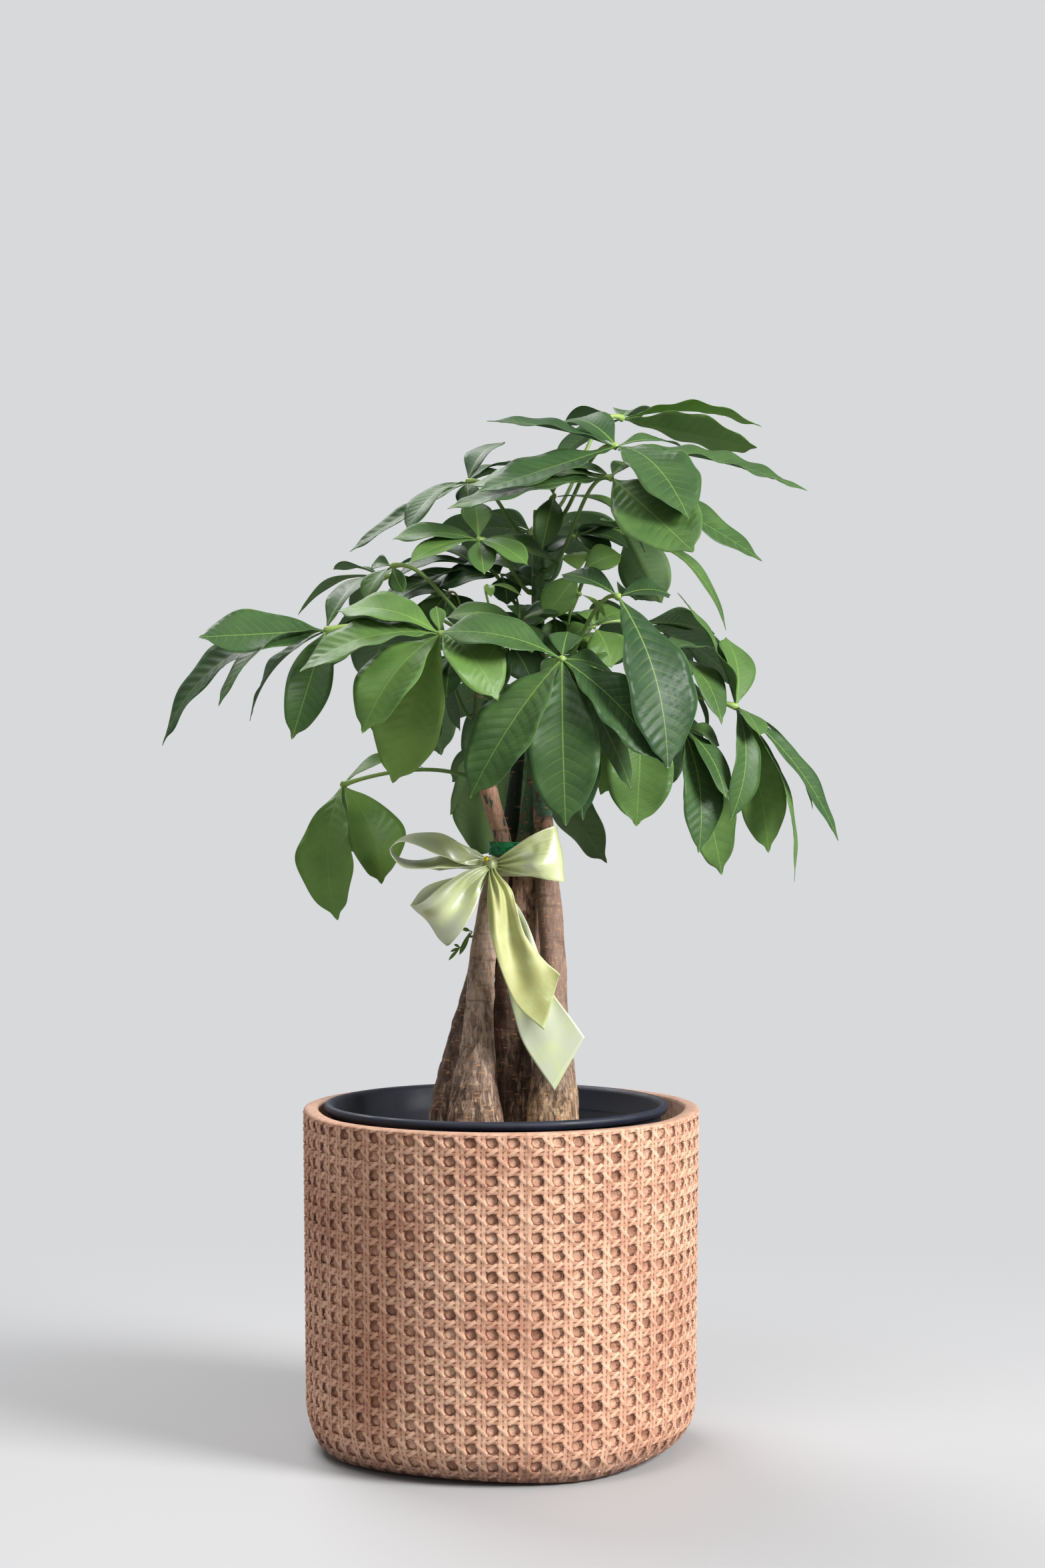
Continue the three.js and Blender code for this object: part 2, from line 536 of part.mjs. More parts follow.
// Compound leaves. Each has the trunk and height that its stalk leaves, its hub, the way its upper side looks,
// and its leaflets as the tip's place from the hub, the blade's width and how far the midrib arches. A leaflet
// that is twisted ends with the way that its own upper side looks.
const LEAVES = {
  leaf_top_back: {
    trunk: "trunk_centre", at: 597, hub: [80, 50, 667], face: [0, 0.3, 1],
    leaflets: [
      [92, -5, -6, 32, 8, [0, 0.05, 1]],
      [87, -30, -23, 36, 1, [0, 0.5, 0.87]],
      [-37, 45, 1, 24, 5],
      [15, 62, 9, 24, 5],
      [-46, 12, -29, 22, 5],
    ],
  },
  leaf_top_front: {
    trunk: "trunk_centre", at: 590, hub: [74, -10, 641], face: [0, -0.45, 0.9],
    leaflets: [
      [-30, 35, 22, 32, 6],
      [-83, -10, 15, 30, 4, [0, -0.3, 0.95]],
      [-88, -55, -35, 36, 1],
      [42, -75, -54, 46, 12, [0.2, -0.6, 0.75]],
      [121, -15, -30, 34, 6, [0.1, -0.3, 0.95]],
      [45, 45, 5, 18, 5],
    ],
  },
  leaf_top_low: {
    trunk: "trunk_centre", at: 562, hub: [70, -35, 618], face: [0, -0.4, 0.9],
    leaflets: [
      [-103, -25, -22, 34, 4],
      [-93, 30, -2, 38, 6],
      [12, 30, 13, 14, 3],
      [48, -60, -52, 52, 2, [-0.1, -0.7, 0.7]],
      [95, -5, -53, 34, 4, [0.3, -0.5, 0.8]],
      [-30, 25, 9, 14, 3],
    ],
  },
  leaf_top_left: {
    trunk: "trunk_centre", at: 583, hub: [-22, 15, 621], face: [-0.2, -0.2, 0.95],
    leaflets: [
      [23, 35, 30, 24, 6],
      [-38, -40, -36, 26, 8],
      [-77, 5, -45, 18, 3, [-0.3, -0.5, 0.8]],
      [45, 40, 8, 24, 5],
      [27, 60, 18, 22, 4],
      [2, -18, -20, 16, 3],
    ],
  },
  leaf_shoot_top: {
    trunk: "trunk_centre", at: 600, hub: [34, -8, 609], face: [0.2, -0.3, 0.9],
    leaflets: [
      [58, -12, -37, 18, 14],
      [-8, -22, -36, 18, 8],
      [-8, 24, 14, 12, 3],
    ],
  },
  leaf_inner_bright: {
    trunk: "trunk_centre", at: 548, hub: [-14, -30, 579], face: [0, -0.5, 0.85],
    leaflets: [
      [-54, -10, 0, 24, 5],
      [-3, 25, 27, 20, 3],
      [54, 10, -6, 24, 5],
      [-43, -30, -17, 20, 5],
      [31, -30, -18, 20, 4],
      [4, -30, -24, 18, 3],
    ],
  },
  leaf_inner_dark: {
    trunk: "trunk_centre", at: 534, hub: [-17, 16, 566], face: [0, -0.3, 0.95],
    leaflets: [
      [-28, 20, 14, 20, 4],
      [-55, -5, -10, 24, 8],
      [40, 34, 8, 24, 4],
      [30, -10, -4, 18, 3],
      [-66, -25, -26, 26, 6],
    ],
  },
  leaf_left_small: {
    trunk: "trunk_front_left", at: 526, hub: [-69, -25, 563], face: [-0.6, -0.5, 0.6],
    leaflets: [
      [-16, -15, -23, 22, 3],
      [-14, 16, 2, 12, 2],
      [8, -14, -18, 12, 2],
    ],
  },
  leaf_left_thin: {
    trunk: "trunk_back", at: 505, hub: [-78, 18, 559], face: [0, 0.2, 1],
    leaflets: [
      [-55, 5, -24, 14, 10],
      [-34, 32, 8, 18, 4],
      [-22, 34, -20, 16, 4],
      [26, 28, 14, 16, 3],
    ],
  },
  leaf_far_left: {
    trunk: "trunk_front_left", at: 506, hub: [-111, -30, 522], face: [-0.3, -0.3, 0.9],
    leaflets: [
      [-77, -30, -6, 38, 1, [-0.1, -0.75, 0.65]],
      [-105, 10, -73, 36, 24, [-0.3, -0.5, 0.8]],
      [-62, -54, -50, 24, 14, [-0.5, -0.2, 0.85]],
      [-50, 18, -57, 30, 10],
      [-18, -42, -70, 28, 10, [0.3, -0.9, 0.4]],
      [26, 38, 38, 24, 6],
    ],
  },
  leaf_front_left: {
    trunk: "trunk_front_left", at: 497, hub: [-37, -75, 517], face: [-0.1, -0.5, 0.85],
    leaflets: [
      [-64, 12, 15, 34, 8],
      [-85, -22, -24, 36, 10],
      [-46, -38, -62, 42, 10],
      [36, -32, -42, 36, 12],
      [44, 10, 2, 26, 5],
      [-30, 12, -92, 44, 6, [-0.1, -0.9, 0.4]],
      [-3, 12, 18, 10, 2],
    ],
  },
  leaf_front_centre: {
    trunk: "trunk_right", at: 481, hub: [38, -85, 501], face: [0, -0.55, 0.8],
    leaflets: [
      [-76, -5, 5, 38, 8],
      [-56, -25, -85, 42, 10],
      [2, -22, -102, 44, 10],
      [62, -18, -64, 42, 8],
      [13, 2, -99, 30, 6],
      [43, 12, -80, 22, 6],
      [34, 18, -10, 24, 4],
      [4, 18, 18, 20, 3],
    ],
  },
  leaf_front_right: {
    trunk: "trunk_right", at: 496, hub: [73, -75, 540], face: [0.2, -0.5, 0.8],
    leaflets: [
      [29, -30, -107, 48, 12],
      [-35, 15, 15, 26, 4],
      [33, 12, 2, 24, 5],
      [-44, -12, -18, 30, 20, [-0.2, -0.75, 0.6]],
      [12, 30, 0, 22, 4],
    ],
  },
  leaf_far_right: {
    trunk: "trunk_right", at: 474, hub: [151, -10, 474], face: [0.4, -0.1, 0.9],
    leaflets: [
      [-6, -25, -73, 24, 10],
      [22, 15, -94, 32, 6, [0.2, -1, 0.2]],
      [36, -12, -112, 14, 13],
      [66, 5, -86, 22, 9, [0.5, -0.5, 0.7]],
      [52, 28, -66, 14, 12],
      [13, -24, -19, 22, 3],
      [-5, 25, 46, 30, 5],
      [-37, 12, 74, 20, 5],
      [-19, -10, 36, 20, 3],
    ],
  },
  leaf_right_inner: {
    trunk: "trunk_right", at: 489, hub: [106, 8, 508], face: [0.2, -0.2, 0.95],
    leaflets: [
      [45, -24, -46, 26, 12],
      [-18, 36, 8, 20, 3],
      [30, 42, 5, 24, 5],
      [30, 12, -54, 26, 6],
      [-8, -30, -30, 24, 4],
    ],
  },
  leaf_right_low: {
    trunk: "trunk_right", at: 456, hub: [116, -15, 461], face: [0.3, -0.4, 0.85],
    leaflets: [
      [9, -22, -80, 30, 8],
      [26, -28, -46, 20, 6],
      [26, 10, -95, 34, 6, [0.3, -1, 0.3]],
      [24, 4, -12, 26, 3],
      [-12, 45, -20, 26, 4],
    ],
  },
  leaf_front_low: {
    trunk: "trunk_right", at: 464, hub: [89, -34, 473], face: [0.1, -0.5, 0.85],
    leaflets: [
      [-4, -18, -75, 42, 6],
      [-28, -6, -54, 30, 5],
      [22, 36, -24, 26, 4],
      [-20, 34, -10, 26, 4],
    ],
  },
  leaf_right_back: {
    trunk: "trunk_centre", at: 520, hub: [80, 15, 589], face: [0.2, 0.1, 1],
    leaflets: [
      [26, 28, -45, 34, 3, [-0.2, 0.9, 0.3]],
      [67, 10, -64, 14, 16, [0.6, -0.5, 0.6]],
      [-32, 12, -6, 30, 3],
      [-14, -20, 5, 16, 2],
      [4, 38, 22, 30, 4],
    ],
  },
  leaf_low_left: {
    trunk: "trunk_front_left", at: 428, hub: [-103, 10, 424], face: [-0.3, -0.3, 0.9],
    leaflets: [
      [26, -10, -64, 44, 10, [0.5, -0.7, 0.5]],
      [-2, -18, -87, 44, 14],
      [52, 22, 11, 24, 10],
      [8, 40, -46, 34, 6],
    ],
  },
  leaf_behind_bow: {
    trunk: "trunk_back", at: 446, hub: [2, 64, 444], face: [0, 0.5, 0.8],
    leaflets: [
      [-36, -18, -40, 38, 5],
      [-26, -6, -68, 44, 6],
      [-36, 30, -18, 30, 5],
      [68, -10, -72, 44, 8],
      [14, 50, -46, 40, 8],
    ],
  },
  leaf_centre_inner: {
    trunk: "trunk_centre", at: 498, hub: [52, 2, 522], face: [0, -0.3, 0.95],
    leaflets: [
      [16, -26, -24, 28, 8],
      [-22, -22, 12, 26, 4],
      [32, 18, 12, 26, 5],
      [-25, 24, 8, 26, 5],
      [8, 36, -15, 26, 4],
    ],
  },
  leaf_left_inner: {
    trunk: "trunk_front_left", at: 468, hub: [-42, 10, 500], face: [-0.1, -0.3, 0.95],
    leaflets: [
      [-52, 6, -16, 32, 6],
      [-30, -34, -16, 28, 5],
      [-24, 40, 14, 28, 5],
      [22, -26, 4, 24, 4],
      [14, 34, 6, 26, 4],
      [-2, 8, -50, 26, 5],
    ],
  },
  leaf_back_top: {
    trunk: "trunk_centre", at: 574, hub: [20, 74, 594], face: [0, 0.45, 0.9],
    leaflets: [
      [-70, 26, -6, 34, 8],
      [-46, 74, -20, 36, 10],
      [6, 90, -36, 38, 10],
      [54, 66, -20, 34, 10],
      [66, 14, -4, 30, 8],
      [-30, -16, 12, 18, 3],
    ],
  },
  leaf_back_left: {
    trunk: "trunk_back", at: 500, hub: [-66, 84, 538], face: [-0.35, 0.35, 0.85],
    leaflets: [
      [-46, 6, -6, 30, 5],
      [-66, 42, -42, 38, 10],
      [-26, 78, -44, 40, 10],
      [20, 66, -24, 34, 8],
      [38, 20, 6, 28, 5],
    ],
  },
  leaf_back_right: {
    trunk: "trunk_back", at: 508, hub: [92, 86, 532], face: [0.35, 0.4, 0.85],
    leaflets: [
      [52, 0, -6, 30, 5],
      [74, 48, -44, 38, 10],
      [30, 80, -48, 40, 10],
      [-22, 70, -26, 34, 8],
      [-34, 26, 8, 28, 5],
    ],
  },
  leaf_back_middle: {
    trunk: "trunk_back", at: 484, hub: [14, 106, 492], face: [0, 0.55, 0.8],
    leaflets: [
      [-60, 22, -22, 32, 6],
      [-36, 60, -64, 40, 10],
      [8, 62, -84, 42, 12],
      [48, 44, -62, 40, 10],
      [60, 6, -14, 30, 6],
    ],
  },
  leaf_back_low_left: {
    trunk: "trunk_back", at: 466, hub: [-58, 80, 500], face: [-0.35, 0.35, 0.85],
    leaflets: [
      [-34, 20, -22, 32, 5],
      [-20, 40, -50, 40, 8],
      [14, 48, -52, 40, 8],
      [30, -14, -40, 30, 5],
    ],
  },
  leaf_back_low_right: {
    trunk: "trunk_back", at: 454, hub: [84, 80, 478], face: [0.3, 0.4, 0.85],
    leaflets: [
      [54, 14, -30, 34, 6],
      [30, 46, -58, 40, 8],
      [-16, 52, -58, 40, 8],
      [-2, -22, -46, 32, 6],
    ],
  },
  leaf_young_left: {
    trunk: "trunk_front_left", at: 531, hub: [-9, -14, 551], face: [0, -0.4, 0.9], young: true,
    leaflets: [
      [10, 4, 7, 5, 2],
      [22, -2, -6, 7, 3],
      [-18, -6, -11, 7, 3],
      [3, -18, -8, 7, 3],
      [-8, 13, 6, 5, 2],
    ],
  },
  leaf_young_right: {
    trunk: "trunk_right", at: 505, hub: [50, -42, 544], face: [0, -0.4, 0.9], young: true,
    leaflets: [
      [7, 3, 7, 4, 2],
      [-9, -3, -1, 4, 2],
      [16, -4, -15, 6, 3],
      [-3, -10, -16, 6, 3],
      [4, 14, 2, 5, 2],
    ],
  },
};

// Share of the half width at each station along a blade, from the stalk to the drawn-out point.
const BROAD_STATIONS = [
  [0.0, 0.05],
  [0.34, 0.7],
  [0.62, 1.0],
  [0.87, 0.5],
  [1.0, 0],
];
const SLIM_STATIONS = [
  [0.0, 0.06],
  [0.4, 0.82],
  [0.76, 0.82],
  [1.0, 0],
];
const NARROW_STATIONS = [
  [0.0, 0.1],
  [0.55, 1.0],
  [1.0, 0],
];
const SLIM_WIDTH = 41;
const NARROW_WIDTH = 26;

function stationsOf(width) {
  if (width > SLIM_WIDTH) return BROAD_STATIONS;
  return width > NARROW_WIDTH ? SLIM_STATIONS : NARROW_STATIONS;
}

// A leaflet's own directions: along the midrib, across the blade and out of its upper side.
function bladeFrame(offset, face) {
  const along = offset.clone().normalize();
  const out = face.clone().addScaledVector(along, -face.dot(along)).normalize();
  const across = along.clone().cross(out);
  return { along, across, out };
}

// A leaflet from its hub: a thin folded blade whose midrib arches out of its face. `turn` swings it round the
// hub, in degrees across the face and out of it, `swell` thickens it for the test that it is clear, and `from`
// is the share of its length at which it starts.
function blade(hub, leaflet, face, turn = [0, 0], swell = 0, from = null) {
  const straight = point(leaflet);
  const [width, arch] = [leaflet[3], leaflet[4]];
  const start = bladeFrame(straight, face);
  const offset = straight.clone().applyAxisAngle(start.out, degrees(turn[0]));
  offset.applyAxisAngle(start.across, degrees(turn[1]));
  const { across, out } = bladeFrame(offset, face);
  const root = from ?? (HUB_RADIUS * 0.6) / offset.length();
  const rings = [];
  for (const [station, share] of stationsOf(width)) {
    const t = lerp(root, 1, station);
    const half = share * (width / 2 + swell);
    const rise = 4 * arch * t * (1 - t);
    const rib = hub.clone().addScaledVector(offset, t).addScaledVector(out, rise);
    const folded = Math.sin(Math.PI * Math.min(station + 0.1, 1)) * FOLD * half;
    const left = rib.clone().addScaledVector(across, -half).addScaledVector(out, folded);
    const right = rib.clone().addScaledVector(across, half).addScaledVector(out, folded);
    const thick = (station === 1 ? BLADE_THICKNESS : RIB_THICKNESS) / 2 + swell;
    const thin = BLADE_THICKNESS / 2 + swell;
    const lift = (p, by) => p.clone().addScaledVector(out, by);
    rings.push([lift(left, thin), lift(rib, thin), lift(right, thin)]);
    rings.at(-1).push(lift(right, -thin), lift(rib, thin - 2 * thick), lift(left, -thin));
  }
  return loft(rings, { turned: [3, 4] });
}

// A leaf's stalk, from just off the trunk's bark to its hub, bowed upwards and by `sway` to one side.
function stalkRoute(leaf, sway) {
  const hub = point(leaf.hub);
  const { centre, radius } = trunkAt(leaf.trunk, leaf.at);
  const towards = hub.clone().sub(centre);
  const level = new THREE.Vector3(towards.x, towards.y, 0).normalize();
  const start = centre.clone().addScaledVector(level, radius * (1 + TRUNK_LOBES) + JOINT_GAP);
  const length = hub.distanceTo(start);
  const side = new THREE.Vector3(-level.y, level.x, 0);
  const firstPull = start
    .clone()
    .addScaledVector(level, length * 0.3)
    .add(new THREE.Vector3(0, 0, length * 0.12))
    .addScaledVector(side, sway * length);
  const lastPull = hub
    .clone()
    .addScaledVector(level, -length * 0.3)
    .add(new THREE.Vector3(0, 0, length * 0.1))
    .addScaledVector(side, sway * length);
  const foot = start.clone().addScaledVector(level, PETIOLE_RADIUS * 2);
  const knob = hub.clone().addScaledVector(hub.clone().sub(lastPull).normalize(), HUB_RADIUS * 0.6);
  return [start, ...new THREE.CubicBezierCurve3(foot, firstPull, lastPull, hub).getPoints(PETIOLE_STEPS), knob];
}

function stalk(leaf, sway, swell = 0) {
  const points = stalkRoute(leaf, sway);
  const slim = leaf.young ? 0.6 : 1;
  const radii = points.map(() => PETIOLE_RADIUS * slim);
  radii[0] *= 1.3;
  radii.splice(-2, 2, HUB_RADIUS * slim, HUB_RADIUS * slim * 0.7);
  return loft(ringsAlong(points, radii, PETIOLE_SIDES, swell));
}

// The bow: its knot is pressed on the wrap, and the loops and tails come out of the knot, clear of each other.
function bow() {
  const swollen = ([low, high], thickness) =>
    solid(band([low - SEAT_GAP, high + SEAT_GAP], TIE_CLEARANCE - SEAT_GAP, thickness + 2 * SEAT_GAP));
  const knot = (grow) => {
    const ball = new THREE.IcosahedronGeometry(1, 1);
    ball.scale(...KNOT_RADII.map((radius) => radius + grow));
    ball.translate(...KNOT);
    return solid(ball);
  };
  const ties = swollen(TAPE_Z, TAPE_THICKNESS).add(swollen(WRAP_Z, WRAP_THICKNESS));
  const pieces = [["ribbon_knot", largest(knot(0).subtract(ties))]];
  let taken = knot(SEAT_GAP).add(ties);
  for (const [name, sections] of Object.entries(RIBBON)) {
    pieces.push([name, largest(solid(strip(sections, RIBBON_THICKNESS)).subtract(taken))]);
    taken = taken.add(solid(strip(sections, RIBBON_THICKNESS + 2 * SEAT_GAP)));
  }
  return pieces;
}

// Young shoot on the trunk's side: two twigs from one root, with small blades at their ends.
function youngShoot() {
  const { centre, radius } = trunkAt(SHOOT_TRUNK, SHOOT_ROOT_Z);
  const leftward = new THREE.Vector3(-1, 0, 0);
  const root = centre.clone().addScaledVector(leftward, radius * (1 + TRUNK_LOBES) + JOINT_GAP * 0.5);
  const twigs = [SHOOT_FORK, SHOOT_END].map((end) => {
    const elbow = root.clone().addScaledVector(leftward, 1.5);
    const past = point(end).sub(elbow).setLength(SHOOT_TWIG_RADIUS * 1.5).add(point(end));
    const points = [root, elbow, past];
    return solid(loft(ringsAlong(points, points.map(() => SHOOT_TWIG_RADIUS), PETIOLE_SIDES)));
  });
  const face = new THREE.Vector3(0.1, -0.9, 0.4).normalize();
  const blades = SHOOT_BLADES.map((leaf) => solid(blade(point(leaf.root), leaf.leaflet, face, [0, 0], 0, 0)));
  return [...twigs, ...blades].reduce((sum, piece) => sum.add(piece));
}

// The order in which a leaflet that would cross another piece is bent clear, in degrees round its hub.
const TURNS = [[0, 0]];
for (const reach of [5, 10, 15, 20, 26, 32, 40])
  for (const [a, b] of [[0, 1], [0, -1], [1, 0], [-1, 0], [0.7, 0.7], [-0.7, 0.7], [0.7, -0.7], [-0.7, -0.7]])
    TURNS.push([a * reach, b * reach]);
const SWAYS = [0, 0.1, -0.1, 0.2, -0.2, 0.3, -0.3, 0.4, -0.4];

const placed = [];
const boxOf = (made) => made.boundingBox();
const apart = (a, b) => [0, 1, 2].some((k) => a.min[k] > b.max[k] || b.min[k] > a.max[k]);
const clear = (made, others) => {
  const box = boxOf(made);
  return others.every((other) => apart(box, other.box) || made.intersect(other.made).isEmpty());
};
const remember = (made, list) => list.push({ made, box: boxOf(made) });

// Cast pot, nursery pot and potting mix
for (const [name, geometry, material] of [
  ["cover_pot", castPot(), CAST_POT],
  ["nursery_pot", nurseryPot(), NURSERY_PLASTIC],
  ["potting_mix", pottingMix(), POTTING_MIX],
]) {
  place(name, geometry, material);
  remember(solid(geometry), placed);
}

// Trunks
for (const [name, levels] of Object.entries(TRUNKS)) {
  const geometry = loft(trunkRings(levels));
  place(name, geometry, BARK);
  remember(solid(geometry), placed);
}

// Ties and bow
const bead = new THREE.OctahedronGeometry(BEAD_RADIUS, 1);
bead.translate(...BEAD);
for (const [name, geometry, material] of [
  ["tie_tape", band(TAPE_Z, TIE_CLEARANCE, TAPE_THICKNESS), TAPE],
  ["ribbon_wrap", band(WRAP_Z, TIE_CLEARANCE, WRAP_THICKNESS), SATIN],
  ["bead", bead, GOLD],
  ...bow().map(([name, made]) => [name, geometryOf(made), SATIN]),
]) {
  place(name, geometry, material);
  remember(solid(geometry), placed);
}

const shoot = youngShoot();
place("young_shoot", geometryOf(shoot), YOUNG_LEAF);
remember(shoot, placed);

// Stalks first, then leaflets: each takes the first place in which it is clear of all that stands already.
const grown = Object.entries(LEAVES).map(([name, leaf]) => {
  const sway = SWAYS.find((by) => clear(solid(stalk(leaf, by, CLEARANCE)), placed)) ?? 0;
  const made = solid(stalk(leaf, sway));
  placed.push({ name, made, box: boxOf(made) });
  return { name, leaf, pieces: [made] };
});

for (const { name, leaf, pieces } of grown) {
  const hub = point(leaf.hub);
  const face = point(leaf.face).normalize();
  const own = [];
  for (const leaflet of leaf.leaflets) {
    const others = placed.filter((other) => other.name !== name);
    const looks = leaflet[5] ? point(leaflet[5]).normalize() : face;
    const fits = (by) =>
      clear(solid(blade(hub, leaflet, looks, by, CLEARANCE, 0.05)), others) &&
      clear(solid(blade(hub, leaflet, looks, by, 0.1, 0.3)), own);
    const turn = TURNS.find(fits);
    if (!turn) continue;
    pieces.push(solid(blade(hub, leaflet, looks, turn)));
    remember(solid(blade(hub, leaflet, looks, turn, 0, 0.3)), own);
  }
  const joined = largest(pieces.reduce((sum, piece) => sum.add(piece)));
  placed.push({ name, made: joined, box: boxOf(joined) });
  place(name, geometryOf(joined), leaf.young ? YOUNG_LEAF : LEAF);
}

export default plant;
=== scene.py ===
# %% [markdown]
# # A potted money tree
# Five tied trunks stand in a black nursery pot, and that pot stands in a cast pot with a cane-weave face.
# The frame holds a plain solid for each piece. Here each solid gets a finer piece that keeps its form and
# place and adds what makes it look real. Sizes are in millimetres, as on a drawing, and one factor turns
# them to metres when a mesh is made.

# %% The frame
import math
import random

import bmesh
import bpy
import numpy as np
from mathutils import Euler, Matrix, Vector, noise
from mathutils.kdtree import KDTree


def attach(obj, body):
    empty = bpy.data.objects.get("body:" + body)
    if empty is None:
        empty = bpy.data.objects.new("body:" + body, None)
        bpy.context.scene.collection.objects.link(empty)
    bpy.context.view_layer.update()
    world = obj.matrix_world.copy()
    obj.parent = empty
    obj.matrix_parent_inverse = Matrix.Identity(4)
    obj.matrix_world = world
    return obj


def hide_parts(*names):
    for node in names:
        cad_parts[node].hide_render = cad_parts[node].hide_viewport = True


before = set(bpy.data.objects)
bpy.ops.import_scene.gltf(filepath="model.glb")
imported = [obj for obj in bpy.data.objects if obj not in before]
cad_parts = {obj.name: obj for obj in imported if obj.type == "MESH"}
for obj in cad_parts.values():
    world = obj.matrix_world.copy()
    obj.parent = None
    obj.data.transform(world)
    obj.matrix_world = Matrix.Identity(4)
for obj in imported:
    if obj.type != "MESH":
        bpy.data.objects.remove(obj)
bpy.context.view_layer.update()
MM = 0.001
print(len(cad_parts), "solids in the frame")

# %% [markdown]
# ## The camera
# The photograph was taken level, at the height of the bow, from about 1.75 m. Blender's camera looks down
# its own -Z, so a quarter turn about X makes it look along +Y. The lens follows from the focal length in
# pixels, because the sensor's long side of 36 mm spans the 2352 pixels of the photograph's height.

# %% Camera
PHOTO_HEIGHT_PX = 2352
FOCAL_PX = 4070
SENSOR = 36
CAMERA_PLACE = (13.8, -1750, 424.5)

lens = bpy.data.cameras.new("camera")
lens.sensor_fit = "AUTO"
lens.sensor_width = SENSOR
lens.lens = FOCAL_PX * SENSOR / PHOTO_HEIGHT_PX
lens.clip_start = 0.05
lens.clip_end = 60
camera = bpy.data.objects.new("camera", lens)
camera.location = [v * MM for v in CAMERA_PLACE]
camera.rotation_euler = (math.pi / 2, 0, 0)
bpy.context.scene.collection.objects.link(camera)
bpy.context.scene.camera = camera
print("lens of", round(lens.lens, 1), "mm")

# %% [markdown]
# ## Colours and nodes
# A hex colour is written for the eye, and Blender counts light, so one function turns the first to the
# second. Another adds a node to a material: its settings go in by name, and each of its inputs gets a
# number, a colour or the node that feeds it.

# %% Helpers for materials
def linear(code):
    """An sRGB hex colour as linear red, green, blue and alpha."""
    channels = [int(code[i : i + 2], 16) / 255 for i in (1, 3, 5)]
    return [c / 12.92 if c <= 0.04045 else ((c + 0.055) / 1.055) ** 2.4 for c in channels] + [1.0]


def feed(tree, made, inputs):
    """Gives each named input a value, or a link from a node's first output or from one of its outputs."""
    for name, value in inputs.items():
        socket = made.inputs[name]
        if isinstance(value, bpy.types.Node):
            value = value.outputs[0]
        if isinstance(value, bpy.types.NodeSocket):
            tree.links.new(value, socket)
        else:
            socket.default_value = linear(value) if isinstance(value, str) else value


def add(tree, kind, inputs=None, stops=None, **settings):
    """Adds one node with its settings and links. `stops` are a colour ramp's places and colours."""
    made = tree.nodes.new("ShaderNode" + kind)
    for name, value in settings.items():
        setattr(made, name, value)
    if stops:
        for place, _ in stops[1:-1]:
            made.color_ramp.elements.new(place)
        made.color_ramp.elements[0].position = stops[0][0]
        made.color_ramp.elements[-1].position = stops[-1][0]
        for element, (_, code) in zip(made.color_ramp.elements, stops):
            element.color = linear(code)
    feed(tree, made, inputs or {})
    return made


def material(name, **inputs):
    """A new material with a Principled shader, and what is the same all over it set on the shader."""
    made = bpy.data.materials.new(name)
    made.use_nodes = True
    tree = made.node_tree
    shader = tree.nodes["Principled BSDF"]
    feed(tree, shader, {key.replace("_", " "): value for key, value in inputs.items()})
    return made, tree, shader


print("white is", linear("#FFFFFF")[:3], "and mid grey is", [round(c, 3) for c in linear("#808080")[:3]])

# %% [markdown]
# ## Points, skins and pieces
# Nearly everything here is a skin over rings of points: a pot, a trunk, a stalk and even a thin leaf. So a
# few functions do that work. One runs a smooth curve through listed points, one carries a ring of
# directions along a curve without twisting it, and one joins rings with faces.

# %% Helpers for shapes
def unit(vectors):
    """Each vector at a length of 1."""
    vectors = np.asarray(vectors, float)
    return vectors / np.linalg.norm(vectors, axis=-1, keepdims=True)


def smoothstep(low, high, value):
    """Rises softly from 0 at `low` to 1 at `high`."""
    share = np.clip((value - low) / (high - low), 0, 1)
    return share * share * (3 - 2 * share)


def flowing(rows, steps):
    """A smooth curve through rows of numbers, with `steps` between each two (a Catmull-Rom spline)."""
    rows = np.asarray(rows, float)
    padded = np.concatenate([[2 * rows[0] - rows[1]], rows, [2 * rows[-1] - rows[-2]]])
    out = []
    for i in range(len(rows) - 1):
        a, b, c, d = padded[i : i + 4]
        for t in np.arange(steps) / steps:
            squared, cubed = 2 * a - 5 * b + 4 * c - d, 3 * b - a - 3 * c + d
            out.append(0.5 * (2 * b + (c - a) * t + squared * t**2 + cubed * t**3))
    out.append(rows[-1])
    return np.array(out)


def around(count):
    """The angles of `count` points that go once round."""
    return np.arange(count) / count * 2 * math.pi


def spokes(route, count):
    """At each point of a route, `count` directions that point away from it and don't twist along it."""
    turn = around(count)
    side = np.array([1, 0.01, 0.02])
    rings = []
    for way in unit(np.gradient(np.asarray(route, float), axis=0)):
        side = unit(side - way * (side @ way))
        rings.append(np.cos(turn)[:, None] * side + np.sin(turn)[:, None] * np.cross(way, side))
    return np.array(rings)


def skin(rings, count, caps=True):
    """Faces over rings of `count` points: quads between neighbours, and one face on each end."""
    i, j = np.meshgrid(np.arange(rings - 1), np.arange(count), indexing="ij")
    k = (j + 1) % count
    corners = [i * count + j, i * count + k, (i + 1) * count + k, (i + 1) * count + j]
    faces = np.stack(corners, -1).reshape(-1, 4).tolist()
    if caps:
        faces.append(list(reversed(range(count))))
        faces.append(list(range((rings - 1) * count, rings * count)))
    return faces


def tube(route, radii, count):
    """Points and faces of a round tube along a route."""
    rings = spokes(route, count) * np.asarray(radii, float)[:, None, None] + np.asarray(route)[:, None]
    return rings.reshape(-1, 3), skin(len(rings), count)


print("a skin over 3 rings of 6 points has", len(skin(3, 6)), "faces")
